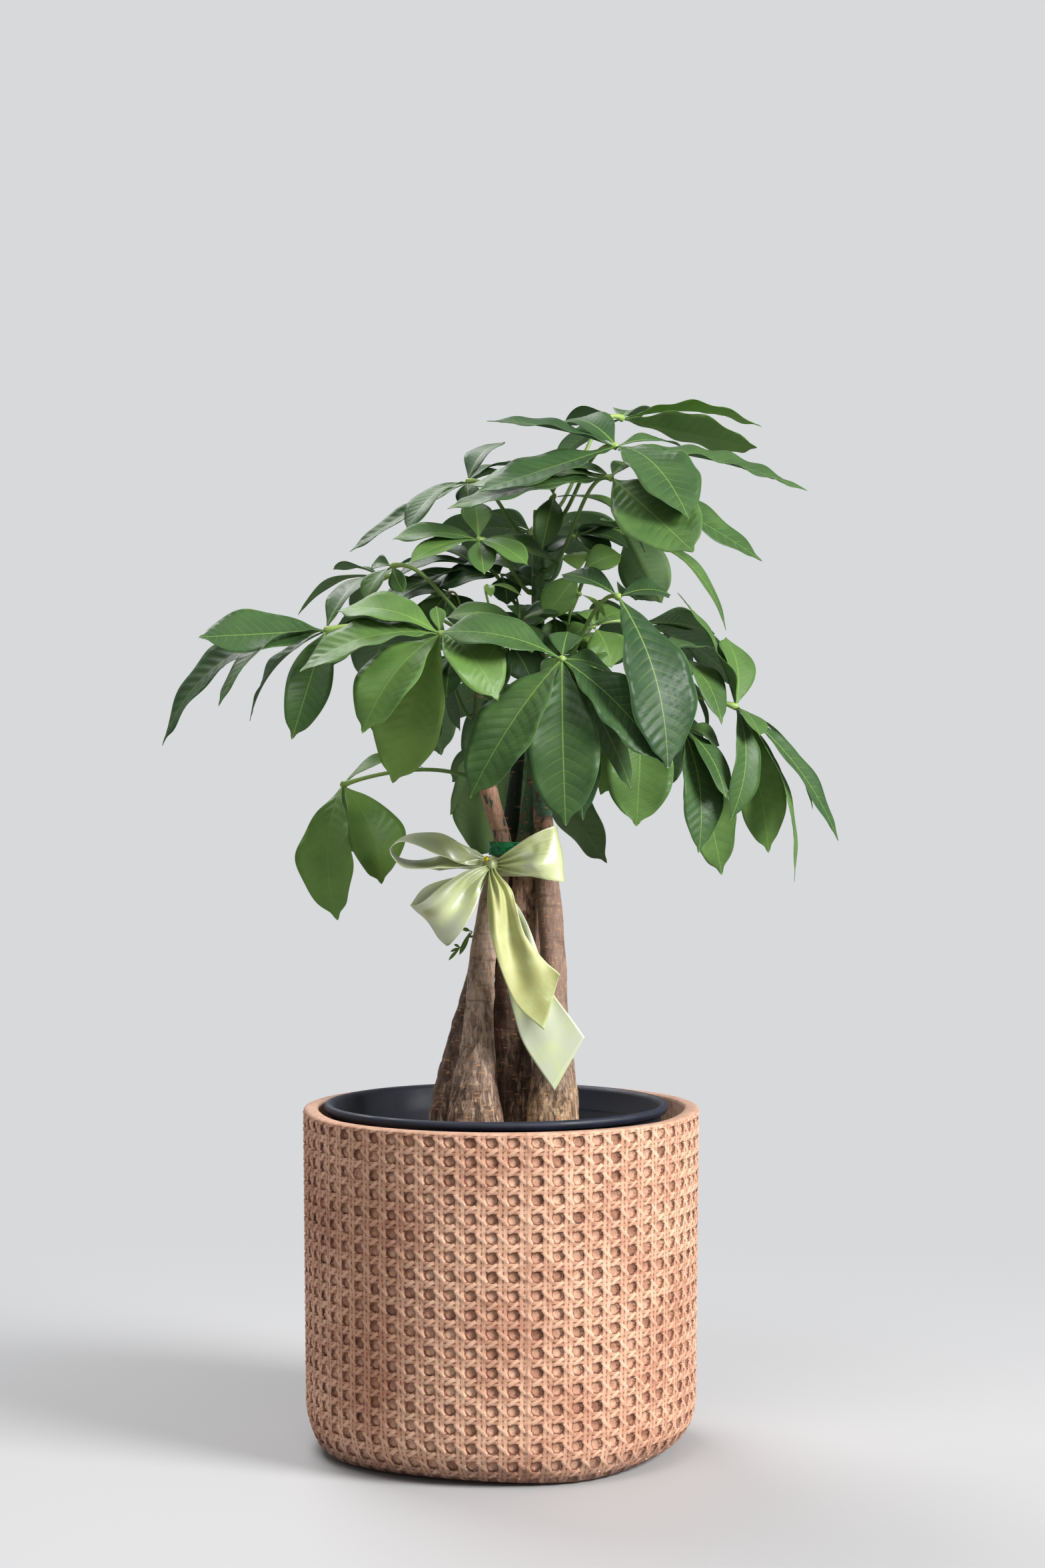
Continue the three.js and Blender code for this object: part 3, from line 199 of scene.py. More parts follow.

# %% [markdown]
# A piece is one closed mesh with smooth shading. It takes the place of one solid of the frame and rides on
# the one body that this object has. Many pieces are made of several skins, as a leaf is made of a stalk and
# leaflets, so a heap collects those first.

# %% Helpers for pieces
def piece(node, points, faces, finishes, face_finish=None, values=None, replaces=True):
    """A mesh that stands for one solid of the frame: closed, smooth, facing out and riding on its body."""
    mesh = bpy.data.meshes.new(node)
    mesh.from_pydata((np.asarray(points) * MM).tolist(), [], faces)
    for finish in finishes:
        mesh.materials.append(finish)
    if face_finish is not None:
        mesh.polygons.foreach_set("material_index", np.asarray(face_finish, np.int32))
    for key, numbers in (values or {}).items():
        kind, field = ("FLOAT_VECTOR", "vector") if numbers.ndim == 2 else ("FLOAT", "value")
        mesh.attributes.new(key, kind, "POINT").data.foreach_set(field, numbers.astype(np.float32).ravel())
    shell = bmesh.new()
    shell.from_mesh(mesh)
    bmesh.ops.recalc_face_normals(shell, faces=shell.faces)
    shell.to_mesh(mesh)
    shell.free()
    mesh.shade_smooth()
    made = bpy.data.objects.new(node + "_fine", mesh)
    bpy.context.scene.collection.objects.link(made)
    if replaces:
        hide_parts(node)
    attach(made, "root")
    print(f"{made.name}: {len(mesh.polygons)} faces")
    return made


class Heap:
    """Collects several skins, with their finishes and values, for one piece."""

    def __init__(self):
        self.points, self.faces, self.finish, self.values = [], [], [], {}
        self.count = 0

    def put(self, points, faces, finish=0, **values):
        self.points.append(points)
        self.faces += [[n + self.count for n in face] for face in faces]
        self.finish += [finish] * len(faces) if isinstance(finish, int) else list(finish)
        for key, numbers in values.items():
            self.values.setdefault(key, []).append(numbers)
        self.count += len(points)

    def piece(self, node, finishes, slot, replaces=True):
        values = {key: np.concatenate(numbers) for key, numbers in self.values.items()}
        points = np.concatenate(self.points)
        return piece(node, points, self.faces, finishes, self.finish, values, replaces)


def rough(place, size):
    """Soft random height from -1 to 1 at a place in mm, with bumps about `size` mm wide."""
    return noise.noise(Vector([v / size for v in place]))


print("rough ground at one place:", round(rough((1, 2, 3), 10), 3))

# %% [markdown]
# ## Cast pot: coloured gypsum cement
# The pot was cast in a mould lined with real cane webbing, so the weave is part of its face. One cell of
# it has a round hole, an upright strand on each side, a level strand above and below, and a thicker slanting
# strand in each gap between two holes, which lies on top. A bump map alone would leave the outline smooth,
# so the weave is modelled. Nine columns by eight rows a cell would make square holes, so the points nearest
# to a hole's rim are drawn onto it: twelve fall on the rim and eight on the button's foot.

# %% The weave, one cell of it
CELL = (12.7, 11.5)
UPRIGHT_X, UPRIGHT_HALF, UPRIGHT_HIGH = 4.8, 1.5, 0.95
LEVEL_Y, LEVEL_HALF, LEVEL_HIGH = 4.35, 1.35, 0.8
SLANT = (0.6, 0.8)
SLANT_HALF = 1.6
FALLING_LONG, RISING_LONG = 5.0, 3.9
HOLE_RADIUS = 3.45
BUTTON_RADIUS = 2.95
DRAWN_TO_BUTTON, DRAWN_TO_RIM = 2.3, 3.4
BUTTON_TOP = 0.9
HOLE_DEPTH = 1.15
GAP_FLOOR = 0.38
RELIEF_TOP = 1.6


def strand(distance, half_width, height):
    """The round back of a strand, at a distance from its middle line."""
    return height * np.sqrt(np.clip(1 - (distance / half_width) ** 2, 0, 1))


def weave(x, y):
    """Height of the cast face in mm, at a place in a cell whose middle is a hole."""
    beside = (abs(x) - CELL[0] / 2) * np.sign(x + 1e-9)
    beyond = (abs(y) - CELL[1] / 2) * np.sign(y + 1e-9)
    upright = strand(abs(abs(x) - UPRIGHT_X), UPRIGHT_HALF, UPRIGHT_HIGH)
    level = strand(abs(abs(y) - LEVEL_Y), LEVEL_HALF, LEVEL_HIGH)
    falling = strand(abs(SLANT[0] * beside + SLANT[1] * y), SLANT_HALF, RELIEF_TOP)
    falling = falling * (abs(SLANT[1] * beside - SLANT[0] * y) < FALLING_LONG)
    rising = strand(abs(SLANT[0] * x - SLANT[1] * beyond), SLANT_HALF, RELIEF_TOP)
    rising = rising * (abs(SLANT[1] * x + SLANT[0] * beyond) < RISING_LONG)
    face = np.maximum.reduce([upright, level, falling, rising, np.full_like(upright, GAP_FLOOR)])
    away = np.hypot(x, y)
    button = BUTTON_TOP - (BUTTON_TOP + HOLE_DEPTH) * smoothstep(0, BUTTON_RADIUS, away)
    return np.where(away < HOLE_RADIUS - 0.1, button, face)


def drawn_to_hole(x, y):
    """The same places, with those near a hole's rim on it and the next ones in on the button's foot."""
    away = np.hypot(x, y)
    wanted = np.where(away < 1, away, np.where(away < DRAWN_TO_BUTTON, BUTTON_RADIUS, HOLE_RADIUS))
    scale = np.where(away < DRAWN_TO_RIM, wanted / np.maximum(away, 0.1), 1)
    return x * scale, y * scale


print("relief from", -HOLE_DEPTH, "to", RELIEF_TOP, "mm")

# %% [markdown]
# The webbing was one strip, wrapped round with its ends meeting right of the front. So 61 columns run
# round from that seam at one spacing, and the seam is a little wider than a cell. The lip was cast by hand
# and dips a little at the front. It is plain: the whole of it counts as the middle of a strand.

# %% Cast pot: size and outline
POT_HEIGHT = 217.5
POT_RADIUS_TOP = 127.5
POT_RADIUS_LOW = 125.4
POT_INNER_TOP = 117.5
POT_INNER_LOW = 114.5
POT_FLOOR = 12
FOOT_HALF_SIDE = 97
FOOT_SQUARENESS = 3.4
FOOT_TURN = 25
FOOT_BLEND = 32
COLUMNS = 61
COLUMN_PITCH = 5.89
FIRST_COLUMN = 10.4
COLUMNS_PER_CELL, ROWS_PER_CELL = 9, 8
TOP_ROW_Z = 209.4
WEAVE_FROM, WEAVE_TO = 1.5, 215.6
WEAVE_FULL_Z = 7
LIP_DIP, DIP_FROM_Z = 2.4, 211
PLAIN = 0.374


def foot_radius(angle):
    """How far the foot reaches in a direction: a rounded square, seen from below."""
    turned = angle + math.pi * 0.75 - math.radians(FOOT_TURN)
    sides = abs(np.cos(turned)) ** FOOT_SQUARENESS + abs(np.sin(turned)) ** FOOT_SQUARENESS
    return FOOT_HALF_SIDE / sides ** (1 / FOOT_SQUARENESS)


def pot_radius(angle, z):
    """The foot is a rounded square, and it swells to a round wall."""
    wall = POT_RADIUS_LOW + (POT_RADIUS_TOP - POT_RADIUS_LOW) * z / POT_HEIGHT
    rise = np.clip(1 - z / FOOT_BLEND, 0, 1)
    foot = foot_radius(angle)
    return foot + (wall - foot) * np.sqrt(1 - rise * rise)


print("the foot reaches", round(float(foot_radius(0.0)), 1), "mm to the right")

# %% Cast pot: mesh
def column_angle(at):
    """The direction of a place that is counted in columns of the weave."""
    return np.radians(FIRST_COLUMN + at * COLUMN_PITCH) - math.pi / 2


def cast_pot(finish):
    """Rings from the foot up the woven face, over the lip and down the inside to the floor."""
    count = COLUMNS * COLUMNS_PER_CELL + 1
    across = (np.arange(count) - COLUMNS_PER_CELL // 2) / COLUMNS_PER_CELL
    row_count = math.ceil((TOP_ROW_Z - WEAVE_FROM) / CELL[1]) + 1
    upward = (np.arange(row_count * ROWS_PER_CELL) - ROWS_PER_CELL // 2) / ROWS_PER_CELL
    points, cane = [], []

    def ring(radius, z, at=across, row=None):
        angle = column_angle(at)
        z = np.broadcast_to(z, angle.shape)
        dip = LIP_DIP * smoothstep(0, 0.6, -np.sin(angle)) * smoothstep(DIP_FROM_Z, POT_HEIGHT, z)
        points.append(np.stack([radius * np.cos(angle), radius * np.sin(angle), z - dip], -1))
        column = np.round(at) + PLAIN if row is None else at
        cane.append(np.stack([column, np.broadcast_to(PLAIN if row is None else row, angle.shape), z], -1))

    foot = foot_radius(column_angle(across))
    ring(foot - 2.5, 0)
    ring(foot - 0.8, 0.3)
    for row in upward[::-1]:
        whole = math.floor(row + 0.5 + 1e-9)
        middle_z = TOP_ROW_Z - whole * CELL[1]
        x = (across - np.round(across)) * CELL[0]
        y = np.full_like(x, -(row - whole) * CELL[1])
        if not WEAVE_FROM < middle_z + y[0] < WEAVE_TO:
            continue
        new_x, new_y = drawn_to_hole(x, y)
        at = np.round(across) + new_x / CELL[0]
        z = middle_z + new_y
        height = weave(new_x, new_y) * smoothstep(0, WEAVE_FULL_Z, z)
        ring(pot_radius(column_angle(at), z) - RELIEF_TOP + height, z, at, (z - TOP_ROW_Z) / CELL[1])
    lip = POT_RADIUS_TOP - RELIEF_TOP + 0.7
    for out, z in [(0.1, POT_HEIGHT - 1.4), (-0.5, POT_HEIGHT - 0.5), (-1.9, POT_HEIGHT)]:
        ring(lip + out, z)
    ring(POT_INNER_TOP + 2, POT_HEIGHT)
    ring(POT_INNER_TOP + 0.5, POT_HEIGHT - 0.6)
    ring(POT_INNER_TOP, POT_HEIGHT - 2.2)
    ring(POT_INNER_LOW, POT_FLOOR + 20)
    ring(np.minimum(foot - 4, POT_INNER_LOW - 6), POT_FLOOR + 4)
    ring(np.minimum(foot - 8, POT_INNER_LOW - 19), POT_FLOOR)
    return piece("cover_pot", np.concatenate(points), skin(len(points), count), [finish],
                 values={"cane": np.concatenate(cane)})


print(COLUMNS, "columns of holes, with", COLUMNS_PER_CELL, "points across each")

# %% [markdown]
# Gypsum cement is matt and takes its colour right through. On this pot the finish paints shade into the
# weave: the cement is drawn pale on the strands and darker at their edges, in the gaps and round each hole's
# rim, where shade falls. The mesh carries its place in the weave, counted in cells, so the finish can draw
# every strand as sharply as wanted: it folds that count back to one cell and measures how far a place is from
# each strand's middle line. The same count, rounded, is each hole's own number, which sets at random how pale
# its button is. Slow noise makes the patches of a hand-rubbed coat, and grime and chips gather near the foot.

# %% Gypsum cement, cast, with painted shade in the weave
cement, tree, shader = material("gypsum_cement_cast_painted_shade", Roughness=0.82, IOR=1.5)
place = add(tree, "TexCoord").outputs["Object"]
cane = add(tree, "Attribute", attribute_name="cane").outputs["Vector"]
PATCH_MM, MOTTLE_MM, GRIT_MM, WANDER_MM, CHIP_MM = 60, 5, 0.8, 7, 5.5
WANDER_CELLS = 0.16
BUTTON_EDGE = 2.7
LIP_FROM_Z, LIP_FULL_Z = 213.5, 216.5
GRIME_FROM_Z, GRIME_FULL_Z = 30, 2
# How pale the strands and gaps are drawn: partly the cement's own colour and partly painted light and shade,
# palest on the slanting strands that lie on top and darkest in the gaps.
UPRIGHT_PALE, LEVEL_PALE, SLANT_PALE, GAP_PALE = 0.86, 0.74, 1.0, 0.33
patches = add(tree, "TexNoise", {"Vector": place, "Scale": 1 / (PATCH_MM * MM), "Detail": 3.0})
mottle = add(tree, "TexNoise", {"Vector": place, "Scale": 1 / (MOTTLE_MM * MM), "Detail": 4.0})
grit = add(tree, "TexNoise", {"Vector": place, "Scale": 1 / (GRIT_MM * MM), "Detail": 2.0})
wander = add(tree, "TexNoise", {"Vector": place, "Scale": 1 / (WANDER_MM * MM), "Detail": 2.0})
wander = add(tree, "VectorMath", {0: wander.outputs["Color"], 1: (0.5, 0.5, 0.5)}, operation="SUBTRACT")
wander_cells = (WANDER_CELLS, WANDER_CELLS, 0)
bent_cane = add(tree, "VectorMath", {0: wander, 1: wander_cells, 2: cane}, operation="MULTIPLY_ADD")
print("grain of", GRIT_MM, "mm, mottles of", MOTTLE_MM, "mm and patches of", PATCH_MM, "mm")

# %% Cement: strands and holes
def in_cell(shift):
    """Where a place lies in its cell in mm, with the cell's middle moved by a share of its size."""
    counted = add(tree, "VectorMath", {0: bent_cane, 1: (0.5 + shift[0], 0.5 + shift[1], 0)}, operation="ADD")
    share = add(tree, "VectorMath", {0: counted}, operation="FRACTION")
    from_middle = add(tree, "VectorMath", {0: share, 1: (0.5, 0.5, 0)}, operation="SUBTRACT")
    return add(tree, "VectorMath", {0: from_middle, 1: (*CELL, 0)}, operation="MULTIPLY")


def back_of_strand(spot, across_it, offset, half_width, pale, long=None):
    """How pale one strand is: most on its middle line, and nothing past its edges and its ends, which paints
    shade at its edges.
    """
    away = add(tree, "VectorMath", {0: spot, 1: (*across_it, 0)}, operation="DOT_PRODUCT").outputs["Value"]
    away = add(tree, "Math", {0: away}, operation="ABSOLUTE")
    away = add(tree, "Math", {0: away, 1: offset}, operation="SUBTRACT")
    away = add(tree, "Math", {0: away}, operation="ABSOLUTE")
    rise = add(tree, "MapRange", {"Value": away, "From Min": half_width, "From Max": half_width * 0.55,
                                  "To Max": pale}, interpolation_type="SMOOTHSTEP")
    if long is None:
        return rise
    along_it = (across_it[1], -across_it[0], 0)
    run = add(tree, "VectorMath", {0: spot, 1: along_it}, operation="DOT_PRODUCT").outputs["Value"]
    run = add(tree, "Math", {0: run}, operation="ABSOLUTE")
    ends = add(tree, "MapRange", {"Value": run, "From Min": long, "From Max": long - 0.5})
    return add(tree, "Math", {0: rise, 1: ends}, operation="MULTIPLY")


cell = in_cell((0, 0))
strands = back_of_strand(cell, (1, 0), UPRIGHT_X, UPRIGHT_HALF, UPRIGHT_PALE)
for other in (
    back_of_strand(cell, (0, 1), LEVEL_Y, LEVEL_HALF, LEVEL_PALE),
    back_of_strand(in_cell((0.5, 0)), SLANT, 0, SLANT_HALF, SLANT_PALE, FALLING_LONG),
    back_of_strand(in_cell((0, 0.5)), (SLANT[0], -SLANT[1]), 0, SLANT_HALF, SLANT_PALE, RISING_LONG),
):
    strands = add(tree, "Math", {0: strands, 1: other}, operation="MAXIMUM")
strands = add(tree, "Math", {0: strands, 1: GAP_PALE}, operation="MAXIMUM")
away = add(tree, "VectorMath", {0: cell}, operation="LENGTH").outputs["Value"]
hole_number = add(tree, "VectorMath", {0: bent_cane, 1: (0.5, 0.5, 0)}, operation="ADD")
hole_number = add(tree, "VectorMath", {0: hole_number}, operation="FLOOR")
hole_number = add(tree, "VectorMath", {0: hole_number, 1: (1, 1, 0)}, operation="MULTIPLY")
clean = add(tree, "TexWhiteNoise", {"Vector": hole_number}).outputs["Value"]
clean = add(tree, "MapRange", {"Value": clean, "From Max": 0.5, "To Min": 0.45, "To Max": 0.82})
# Painted shade: each button darkens to nothing at the hole's rim, and its middle takes the hole's random
# paleness.
button = add(tree, "MapRange", {"Value": away, "From Min": HOLE_RADIUS, "From Max": BUTTON_EDGE,
                                "To Max": clean})
hollow = add(tree, "MapRange", {"Value": away, "From Min": HOLE_RADIUS - 0.15,
                                "From Max": HOLE_RADIUS + 0.15})
high = add(tree, "Mix", {0: hollow, 2: button, 3: strands})
print("the pattern takes", len(tree.nodes), "nodes")

# %% Cement: colour, grime and grit
lift = add(tree, "Math", {0: mottle, 1: 0.5}, operation="SUBTRACT")
shade = add(tree, "Math", {0: lift, 1: high}, operation="ADD")
# The ramp turns this into colour, so the painted shade of gaps, strand edges and hole rims shows in it.
weave_colour_and_shade = add(tree, "ValToRGB", {"Fac": shade}, stops=[
    (0.0, "#3F261D"), (0.2, "#774C39"), (0.45, "#A1735A"), (0.75, "#C29378"), (1.0, "#DDB498")])
worn = add(tree, "MapRange", {"Value": patches, "From Min": 0.42, "From Max": 0.72, "To Max": 0.55})
faded = add(tree, "MixRGB", {"Fac": worn, "Color1": weave_colour_and_shade, "Color2": "#C0927E"}, blend_type="MULTIPLY")
up = add(tree, "SeparateXYZ", {"Vector": place}).outputs["Z"]
lip = add(tree, "MapRange", {"Value": up, "From Min": LIP_FROM_Z * MM, "From Max": LIP_FULL_Z * MM,
                             "To Max": 0.65})
faded = add(tree, "MixRGB", {"Fac": lip, "Color1": faded, "Color2": "#B08E7B"})
low = add(tree, "MapRange", {"Value": up, "From Min": GRIME_FROM_Z * MM, "From Max": GRIME_FULL_Z * MM})
dusty = add(tree, "Math", {0: low, 1: mottle}, operation="MULTIPLY")
dusty = add(tree, "MapRange", {"Value": dusty, "From Min": 0.2, "From Max": 0.5, "To Max": 0.75})
soiled = add(tree, "MixRGB", {"Fac": dusty, "Color1": faded, "Color2": "#5A3E33"})
chips = add(tree, "TexVoronoi", {"Vector": place, "Scale": 1 / (CHIP_MM * MM)}, feature="F1")
chips = add(tree, "MapRange", {"Value": chips, "From Min": 0.13, "From Max": 0.08})
chips = add(tree, "Math", {0: chips, 1: low}, operation="MULTIPLY")
chipped = add(tree, "MixRGB", {"Fac": chips, "Color1": soiled, "Color2": "#E9DCD0"})
height = add(tree, "Math", {0: grit, 1: 0.35, 2: high}, operation="MULTIPLY_ADD")
bumps = add(tree, "Bump", {"Height": height, "Strength": 0.6, "Distance": 0.8 * MM})
feed(tree, shader, {"Base Color": chipped, "Normal": bumps})
cast_pot(cement)

# %% [markdown]
# ## Nursery pot: moulded polypropylene
# A thin black growing pot with a rolled rim and a step below it, which helps stacked pots part. It is a
# lathe shape: one outline turned about the axis. Its drain holes lie hidden under it and are left out.

# %% Nursery pot
NURSERY_X = -3
NURSERY_BASE = 12.3
NURSERY_TOP = 220
NURSERY_RIM = 111
NURSERY_FOOT = 86
NURSERY_WALL = 1.6
NURSERY_STEP = 16
NURSERY_SIDES = 96


def nursery_pot(finish):
    """One outline, up the outside and down the inside, turned about the pot's axis."""
    wall = NURSERY_RIM - 6.5 + NURSERY_WALL
    bead = [(NURSERY_RIM - 2.6 + 2.6 * math.cos(a), NURSERY_TOP - 2.6 + 2.6 * math.sin(a))
            for a in np.radians([-60, -30, 0, 30, 60, 90])]
    outline = [
        (1, NURSERY_BASE), (NURSERY_FOOT - 3, NURSERY_BASE), (NURSERY_FOOT - 0.8, NURSERY_BASE + 0.9),
        (NURSERY_FOOT, NURSERY_BASE + 3), (wall - 3, NURSERY_TOP - NURSERY_STEP - 2),
        (wall - 2.6, NURSERY_TOP - NURSERY_STEP - 1.2), (wall, NURSERY_TOP - NURSERY_STEP),
        (wall, NURSERY_TOP - 6), (NURSERY_RIM - 1.6, NURSERY_TOP - 5.6), *bead,
        (wall + 0.6, NURSERY_TOP - 0.6), (wall - NURSERY_WALL, NURSERY_TOP - 3),
        (wall - NURSERY_WALL, NURSERY_TOP - NURSERY_STEP + 0.6),
        (wall - 3 - NURSERY_WALL, NURSERY_TOP - NURSERY_STEP - 1.4),
        (NURSERY_FOOT - NURSERY_WALL - 1, NURSERY_BASE + NURSERY_WALL), (1, NURSERY_BASE + NURSERY_WALL),
    ]
    angle = around(NURSERY_SIDES)
    rings = [np.stack([NURSERY_X + r * np.cos(angle), r * np.sin(angle), np.full_like(angle, z)], -1)
             for r, z in outline]
    return piece("nursery_pot", np.concatenate(rings), skin(len(rings), NURSERY_SIDES), [finish])


print("the growing pot is", 2 * NURSERY_RIM, "mm across its rim")

# %% [markdown]
# Moulded polypropylene is a little waxy: it shines softly, and the mould's fine texture breaks the shine.

# %% Polypropylene, moulded
PEEL_MM, DUST_MM = 1.2, 18
plastic, tree, shader = material("polypropylene_moulded", IOR=1.49)
place = add(tree, "TexCoord").outputs["Object"]
orange_peel = add(tree, "TexNoise", {"Vector": place, "Scale": 1 / (PEEL_MM * MM), "Detail": 2.0})
dust = add(tree, "TexNoise", {"Vector": place, "Scale": 1 / (DUST_MM * MM), "Detail": 4.0})
dull = add(tree, "MapRange", {"Value": dust, "From Min": 0.35, "From Max": 0.7, "To Min": 0.5, "To Max": 0.7})
grey = add(tree, "MixRGB", {"Fac": dust, "Color1": "#0D111B", "Color2": "#20263A"})
bumps = add(tree, "Bump", {"Height": orange_peel, "Strength": 0.2, "Distance": 0.1 * MM})
feed(tree, shader, {"Base Color": grey, "Roughness": dull, "Normal": bumps})
nursery_pot(plastic)

# %% [markdown]
# ## Potting mix: bark, peat and grit
# The mix was poured, so it is a rough mound with chips of bark on it. A polar grid with noise for height
# makes the mound, and some hundreds of small split chips, turned at random from a fixed seed, lie on it.

# %% Potting mix
SOIL_EDGE_Z = 189
SOIL_CROWN_Z = 204
SOIL_EDGE_RADIUS = 97.5
SOIL_BASE_RADIUS = 82
SOIL_SIDES, SOIL_RINGS = 120, 44
MOUND_TONE = 0.25
CHIPS, CHIPS_REACH = 620, SOIL_EDGE_RADIUS * 0.96
CHIP_SIZES = (1.2, 4.2)
BIG_CHIP, BIG_CHIPS_SHARE = 1.7, 0.12


def soil_height(x, y):
    """The mound's height at a place: a low dome with lumps of three sizes."""
    away = np.hypot(x - NURSERY_X, y) / SOIL_EDGE_RADIUS
    mound = SOIL_EDGE_Z + (SOIL_CROWN_Z - SOIL_EDGE_Z) * (1 - smoothstep(0.1, 1, away))
    return mound + 2.2 * rough((x, y, 0), 26) + 1.5 * rough((x, y, 7), 9) + 0.8 * rough((x, y, 3), 3.5)


def potting_mix(finish):
    """The mound, and the chips of bark on it."""
    heap = Heap()
    angle = around(SOIL_SIDES)
    rings = [np.stack([NURSERY_X + SOIL_BASE_RADIUS * np.cos(angle), SOIL_BASE_RADIUS * np.sin(angle),
                       np.full(SOIL_SIDES, NURSERY_BASE + NURSERY_WALL + 1.0)], -1)]
    for radius in np.linspace(SOIL_EDGE_RADIUS, 1.5, SOIL_RINGS):
        x, y = NURSERY_X + radius * np.cos(angle), radius * np.sin(angle)
        z = [soil_height(a, b) for a, b in zip(x, y)]
        rings.append(np.stack([x, y, z], -1))
    points = np.concatenate(rings)
    heap.put(points, skin(len(rings), SOIL_SIDES), tone=np.full(len(points), MOUND_TONE))
    draw = random.Random(11)
    corners = np.array([(1, 0, 0), (0.3, 0.9, 0.1), (-0.8, 0.5, 0), (-0.9, -0.5, 0.1), (0.2, -0.9, 0),
                        (0.1, 0.1, 0.8), (-0.1, 0, -0.8)])
    sides_of = [[i, (i + 1) % 5, 5] for i in range(5)] + [[(i + 1) % 5, i, 6] for i in range(5)]
    for _ in range(CHIPS):
        radius = CHIPS_REACH * math.sqrt(draw.random())
        turn = draw.uniform(0, 2 * math.pi)
        x, y = NURSERY_X + radius * math.cos(turn), radius * math.sin(turn)
        size = draw.uniform(*CHIP_SIZES) * (BIG_CHIP if draw.random() < BIG_CHIPS_SHARE else 1)
        scale = np.array([size, size * draw.uniform(0.35, 0.8), size * draw.uniform(0.2, 0.45)])
        spin = Euler((draw.uniform(-0.6, 0.6), draw.uniform(-0.6, 0.6), draw.uniform(0, 6.3))).to_matrix()
        turned = np.array(spin) @ (corners * scale).T
        points = turned.T + [x, y, soil_height(x, y) + scale[2] * 0.6]
        heap.put(points, sides_of, tone=np.full(len(points), draw.random() ** 1.5))
    return heap.piece("potting_mix", [finish], "potting_mix")


print("the mix is heaped", SOIL_CROWN_Z - SOIL_EDGE_Z, "mm high")

# %% [markdown]
# Peat and bark have no gloss at all. Each chip carries one tone, from black peat to pale split wood, and
# fine noise adds crumbs that are too small to model.

# %% Peat and bark
CRUMB_MM = 2.5
potting, tree, shader = material("peat_and_bark_mix", Roughness=0.95, IOR=1.4)
place = add(tree, "TexCoord").outputs["Object"]
tone = add(tree, "Attribute", attribute_name="tone").outputs["Fac"]
crumbs = add(tree, "TexNoise", {"Vector": place, "Scale": 1 / (CRUMB_MM * MM), "Detail": 4.0})
shade = add(tree, "Math", {0: crumbs, 1: 0.6, 2: tone}, operation="MULTIPLY_ADD")
earth = add(tree, "ValToRGB", {"Fac": shade}, stops=[
    (0.2, "#2A1D15"), (0.5, "#4A3425"), (0.8, "#7A5A40"), (1.0, "#B08F6C")])
bumps = add(tree, "Bump", {"Height": crumbs, "Strength": 0.7, "Distance": 0.8 * MM})
feed(tree, shader, {"Base Color": earth, "Normal": bumps})
potting_mix(potting)

# %% [markdown]
# ## Trunks: young bark
# The five trunks are swollen at the foot, where the bark is corky and cracked along the stem, and they
# narrow to smooth stems above the tie. Each is a tube along a curve through the levels below, which give
# x, y, z and radius. The cracks, the rings of old leaf scars and the small knobs are real relief, made by
# moving each point in or out. Stretching noise along the stem makes it crack the way bark does.

# %% Trunks: levels as x, y, z and radius
TRUNKS = {
    "trunk_front_left": [
        (-18, -38, 140, 15), (-16, -35, 188, 18.6), (-16, -34, 210, 18.2), (-16, -31, 233, 14.6),
        (-14.5, -27, 260, 10.8), (-13.6, -22, 284, 9.4), (-12, -17, 312, 8.6), (-7, -12, 344, 8.1),
        (-1.5, -9, 368, 7.3), (1, -9, 388, 5.6), (-4, -9.5, 406, 5.5), (-9, -10, 424, 5.9),
        (-10.5, -11, 434, 5), (-15, -12, 452, 3.5), (-14.8, -12, 474, 3.2), (-12, -12, 504, 2.8),
        (-10.5, -12, 532, 2.3),
    ],
    "trunk_right": [
        (35, -32, 140, 14), (33, -28, 190, 17.2), (33, -28, 208, 16.8), (34, -25, 230, 15.4),
        (34, -21, 252, 12.4), (33.5, -17, 282, 9.4), (33, -13, 318, 8.2), (31, -9, 346, 7.9),
        (29.6, -7, 368, 7.1), (28.6, -6, 388, 6.6), (27, -6, 404, 6.2), (26, -7, 426, 4.9),
        (27, -9, 450, 4), (31, -11, 480, 3.4), (35, -12, 506, 2.6),
    ],
    "trunk_centre": [
        (9, 8, 140, 17), (9, 5, 190, 20), (9, 5, 207, 19.2), (8.5, 4, 226, 16),
        (7.2, 3, 248, 13.6), (7.2, 2, 282, 12.9), (10.4, 2, 320, 11.4), (15, 2, 350, 8.6),
        (15, 2, 370, 7.2), (16, 3, 392, 5.6), (19, 5, 413, 4.9), (22, 6, 436, 4.7),
        (24, 4, 470, 4.4), (24, 2, 520, 4.2), (24, 0, 560, 4.2), (24.5, 0, 601, 3.9),
    ],
    "trunk_back_left": [
        (-34, 7, 140, 14), (-31.5, 3, 188, 16.8), (-30.5, 3, 208, 16.2), (-27, 3, 235, 14.2),
        (-23.6, 4, 254, 12.2), (-17, 6, 285, 9.8), (-10, 9, 315, 8.7), (-2, 12, 346, 8),
        (3, 13, 370, 7), (6, 12.5, 392, 5.6), (7.6, 12, 410, 4.9), (10, 13, 432, 4.1),
        (12.5, 14, 457, 3.5),
    ],
    "trunk_back": [
        (27, 48, 140, 14), (24, 44, 190, 16.6), (24, 43, 206, 16), (23, 38, 235, 13.2),
        (22, 31, 270, 10.4), (22, 25, 310, 9), (24, 20, 345, 8), (26, 17, 370, 7.1),
        (27, 18, 392, 6), (26, 22, 425, 4.8), (20, 28, 460, 4), (14, 32, 490, 3.4),
        (10, 34, 516, 2.6),
    ],
}
TRUNK_SIDES = 56
TRUNK_LOBES = 0.035
CORK_TOP_Z = 268
GREEN_FROM_Z = 392
SCARS_FROM_Z = 232
SCAR_MM, CRACK_MM, FINE_MM, LUMP_MM = 1.5, 4.2, 1.8, 15
